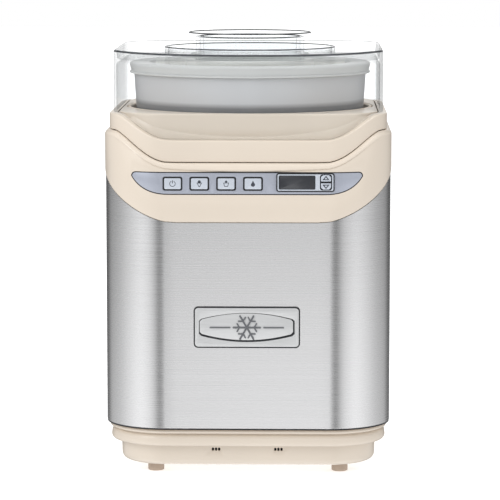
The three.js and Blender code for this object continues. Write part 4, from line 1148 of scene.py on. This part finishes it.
def studio_floor():
    """White worktop, which shows only to the camera and takes shadows."""
    reach = 9000
    shader = Shader("studio_floor", (243.4, 243.4, 243.4), 0.6)
    shader.tint(shader.noise(2), 0.01)
    shader.set("Emission Color", (1, 1, 1, 1))
    shader.set("Emission Strength", 0.5)
    corners = [(-reach, -reach, 0), (reach, -reach, 0), (reach, reach, 0), (-reach, reach, 0)]
    sheet = mesh_piece("studio_floor", corners, [(0, 1, 2, 3)])
    sheet.data.materials.append(shader.material)
    sheet.visible_glossy = False
    sheet.visible_diffuse = False


def ramp(tree, value, stops):
    """Brightness by the position of a value among the stops."""
    node = tree.add("ValToRGB", Fac=value)
    elements = node.color_ramp.elements
    while len(elements) < len(stops):
        elements.new(0.5)
    for element, (position, level) in zip(elements, stops):
        element.position = position
        element.color = (level, level, level, 1)
    return node.outputs[0]


def world():
    """White to the camera, soft daylight from above, and softboxes with dark flags between them in gloss."""
    setting = bpy.data.worlds.new("studio")
    bpy.context.scene.world = setting
    setting.use_nodes = True
    sky = Nodes(setting.node_tree)
    maths = sky.maths
    backwards = maths("MULTIPLY", sky.axis("Generated", "Y"), -1.0)
    angle = maths("ABSOLUTE", maths("ARCTAN2", sky.axis("Generated", "X"), backwards))
    around = ramp(sky, maths("DIVIDE", angle, pi), AROUND)
    upwards = maths("ADD", maths("MULTIPLY", sky.axis("Generated", "Z"), 0.5), 0.5)
    gloss = maths("MULTIPLY", around, ramp(sky, upwards, GLOSS_UPWARDS))
    rays = sky.add("LightPath").outputs
    indirect = sky.mix("FLOAT", rays["Is Glossy Ray"], ramp(sky, upwards, SOFT_UPWARDS), gloss)
    level = sky.mix("FLOAT", rays["Is Camera Ray"], indirect, 1.0)
    sky.feed(sky.tree.nodes["Background"].inputs, level)


def softbox(name, place, width, height, power):
    """A rectangular lamp that is aimed at the middle of the machine."""
    aim = Vector((0, 0, 0.2))
    light = bpy.data.lights.new(name, "AREA")
    light.shape = "RECTANGLE"
    light.size, light.size_y = width, height
    light.energy = power
    lamp = new_object(name, light)
    lamp.location = place
    lamp.rotation_euler = (aim - Vector(place)).to_track_quat("-Z", "Y").to_euler()


def camera():
    """A long lens a little above the worktop, a touch to the right of straight on."""
    distance, height, azimuth, pitch = 2.165, 0.425, radians(1.25), radians(6.87)
    data = bpy.data.cameras.new("camera")
    data.lens = 194.8
    data.sensor_width = 36
    data.clip_end = 100
    eye = new_object("camera", data)
    eye.location = (distance * sin(azimuth), -distance * cos(azimuth), height)
    eye.rotation_euler = (pi / 2 - pitch, 0, azimuth)
    bpy.context.scene.camera = eye


def main():
    """Build every piece, then the studio and the camera."""
    base_pan()
    for name in CORNERS:
        foot(name)
    steel_sleeve()
    control_trim()
    top_deck()
    bowl_well()
    fascia()
    for name, icon in zip(BUTTONS, icons()):
        mode_button(name, icon)
    display()
    for name, outward in KEYS.items():
        timer_key(name, outward)
    key_seat()
    badge()
    lid()
    lid_spout()
    spout_cap()
    bowl_shell()
    bowl_liner()
    bowl_rim()
    mixing_paddle()
    drive_plate()
    cord_gland()
    carried_over_nodes()
    studio_floor()
    world()
    softbox("key_light", (-1.5, -1.5, 1.5), 1.1, 1.1, 13)
    softbox("top_light", (0.2, 0.2, 2.2), 1.4, 1.4, 8)
    camera()
    bpy.context.scene.view_settings.view_transform = "Standard"
    bpy.context.scene.cycles.transparent_max_bounces = 32


main()
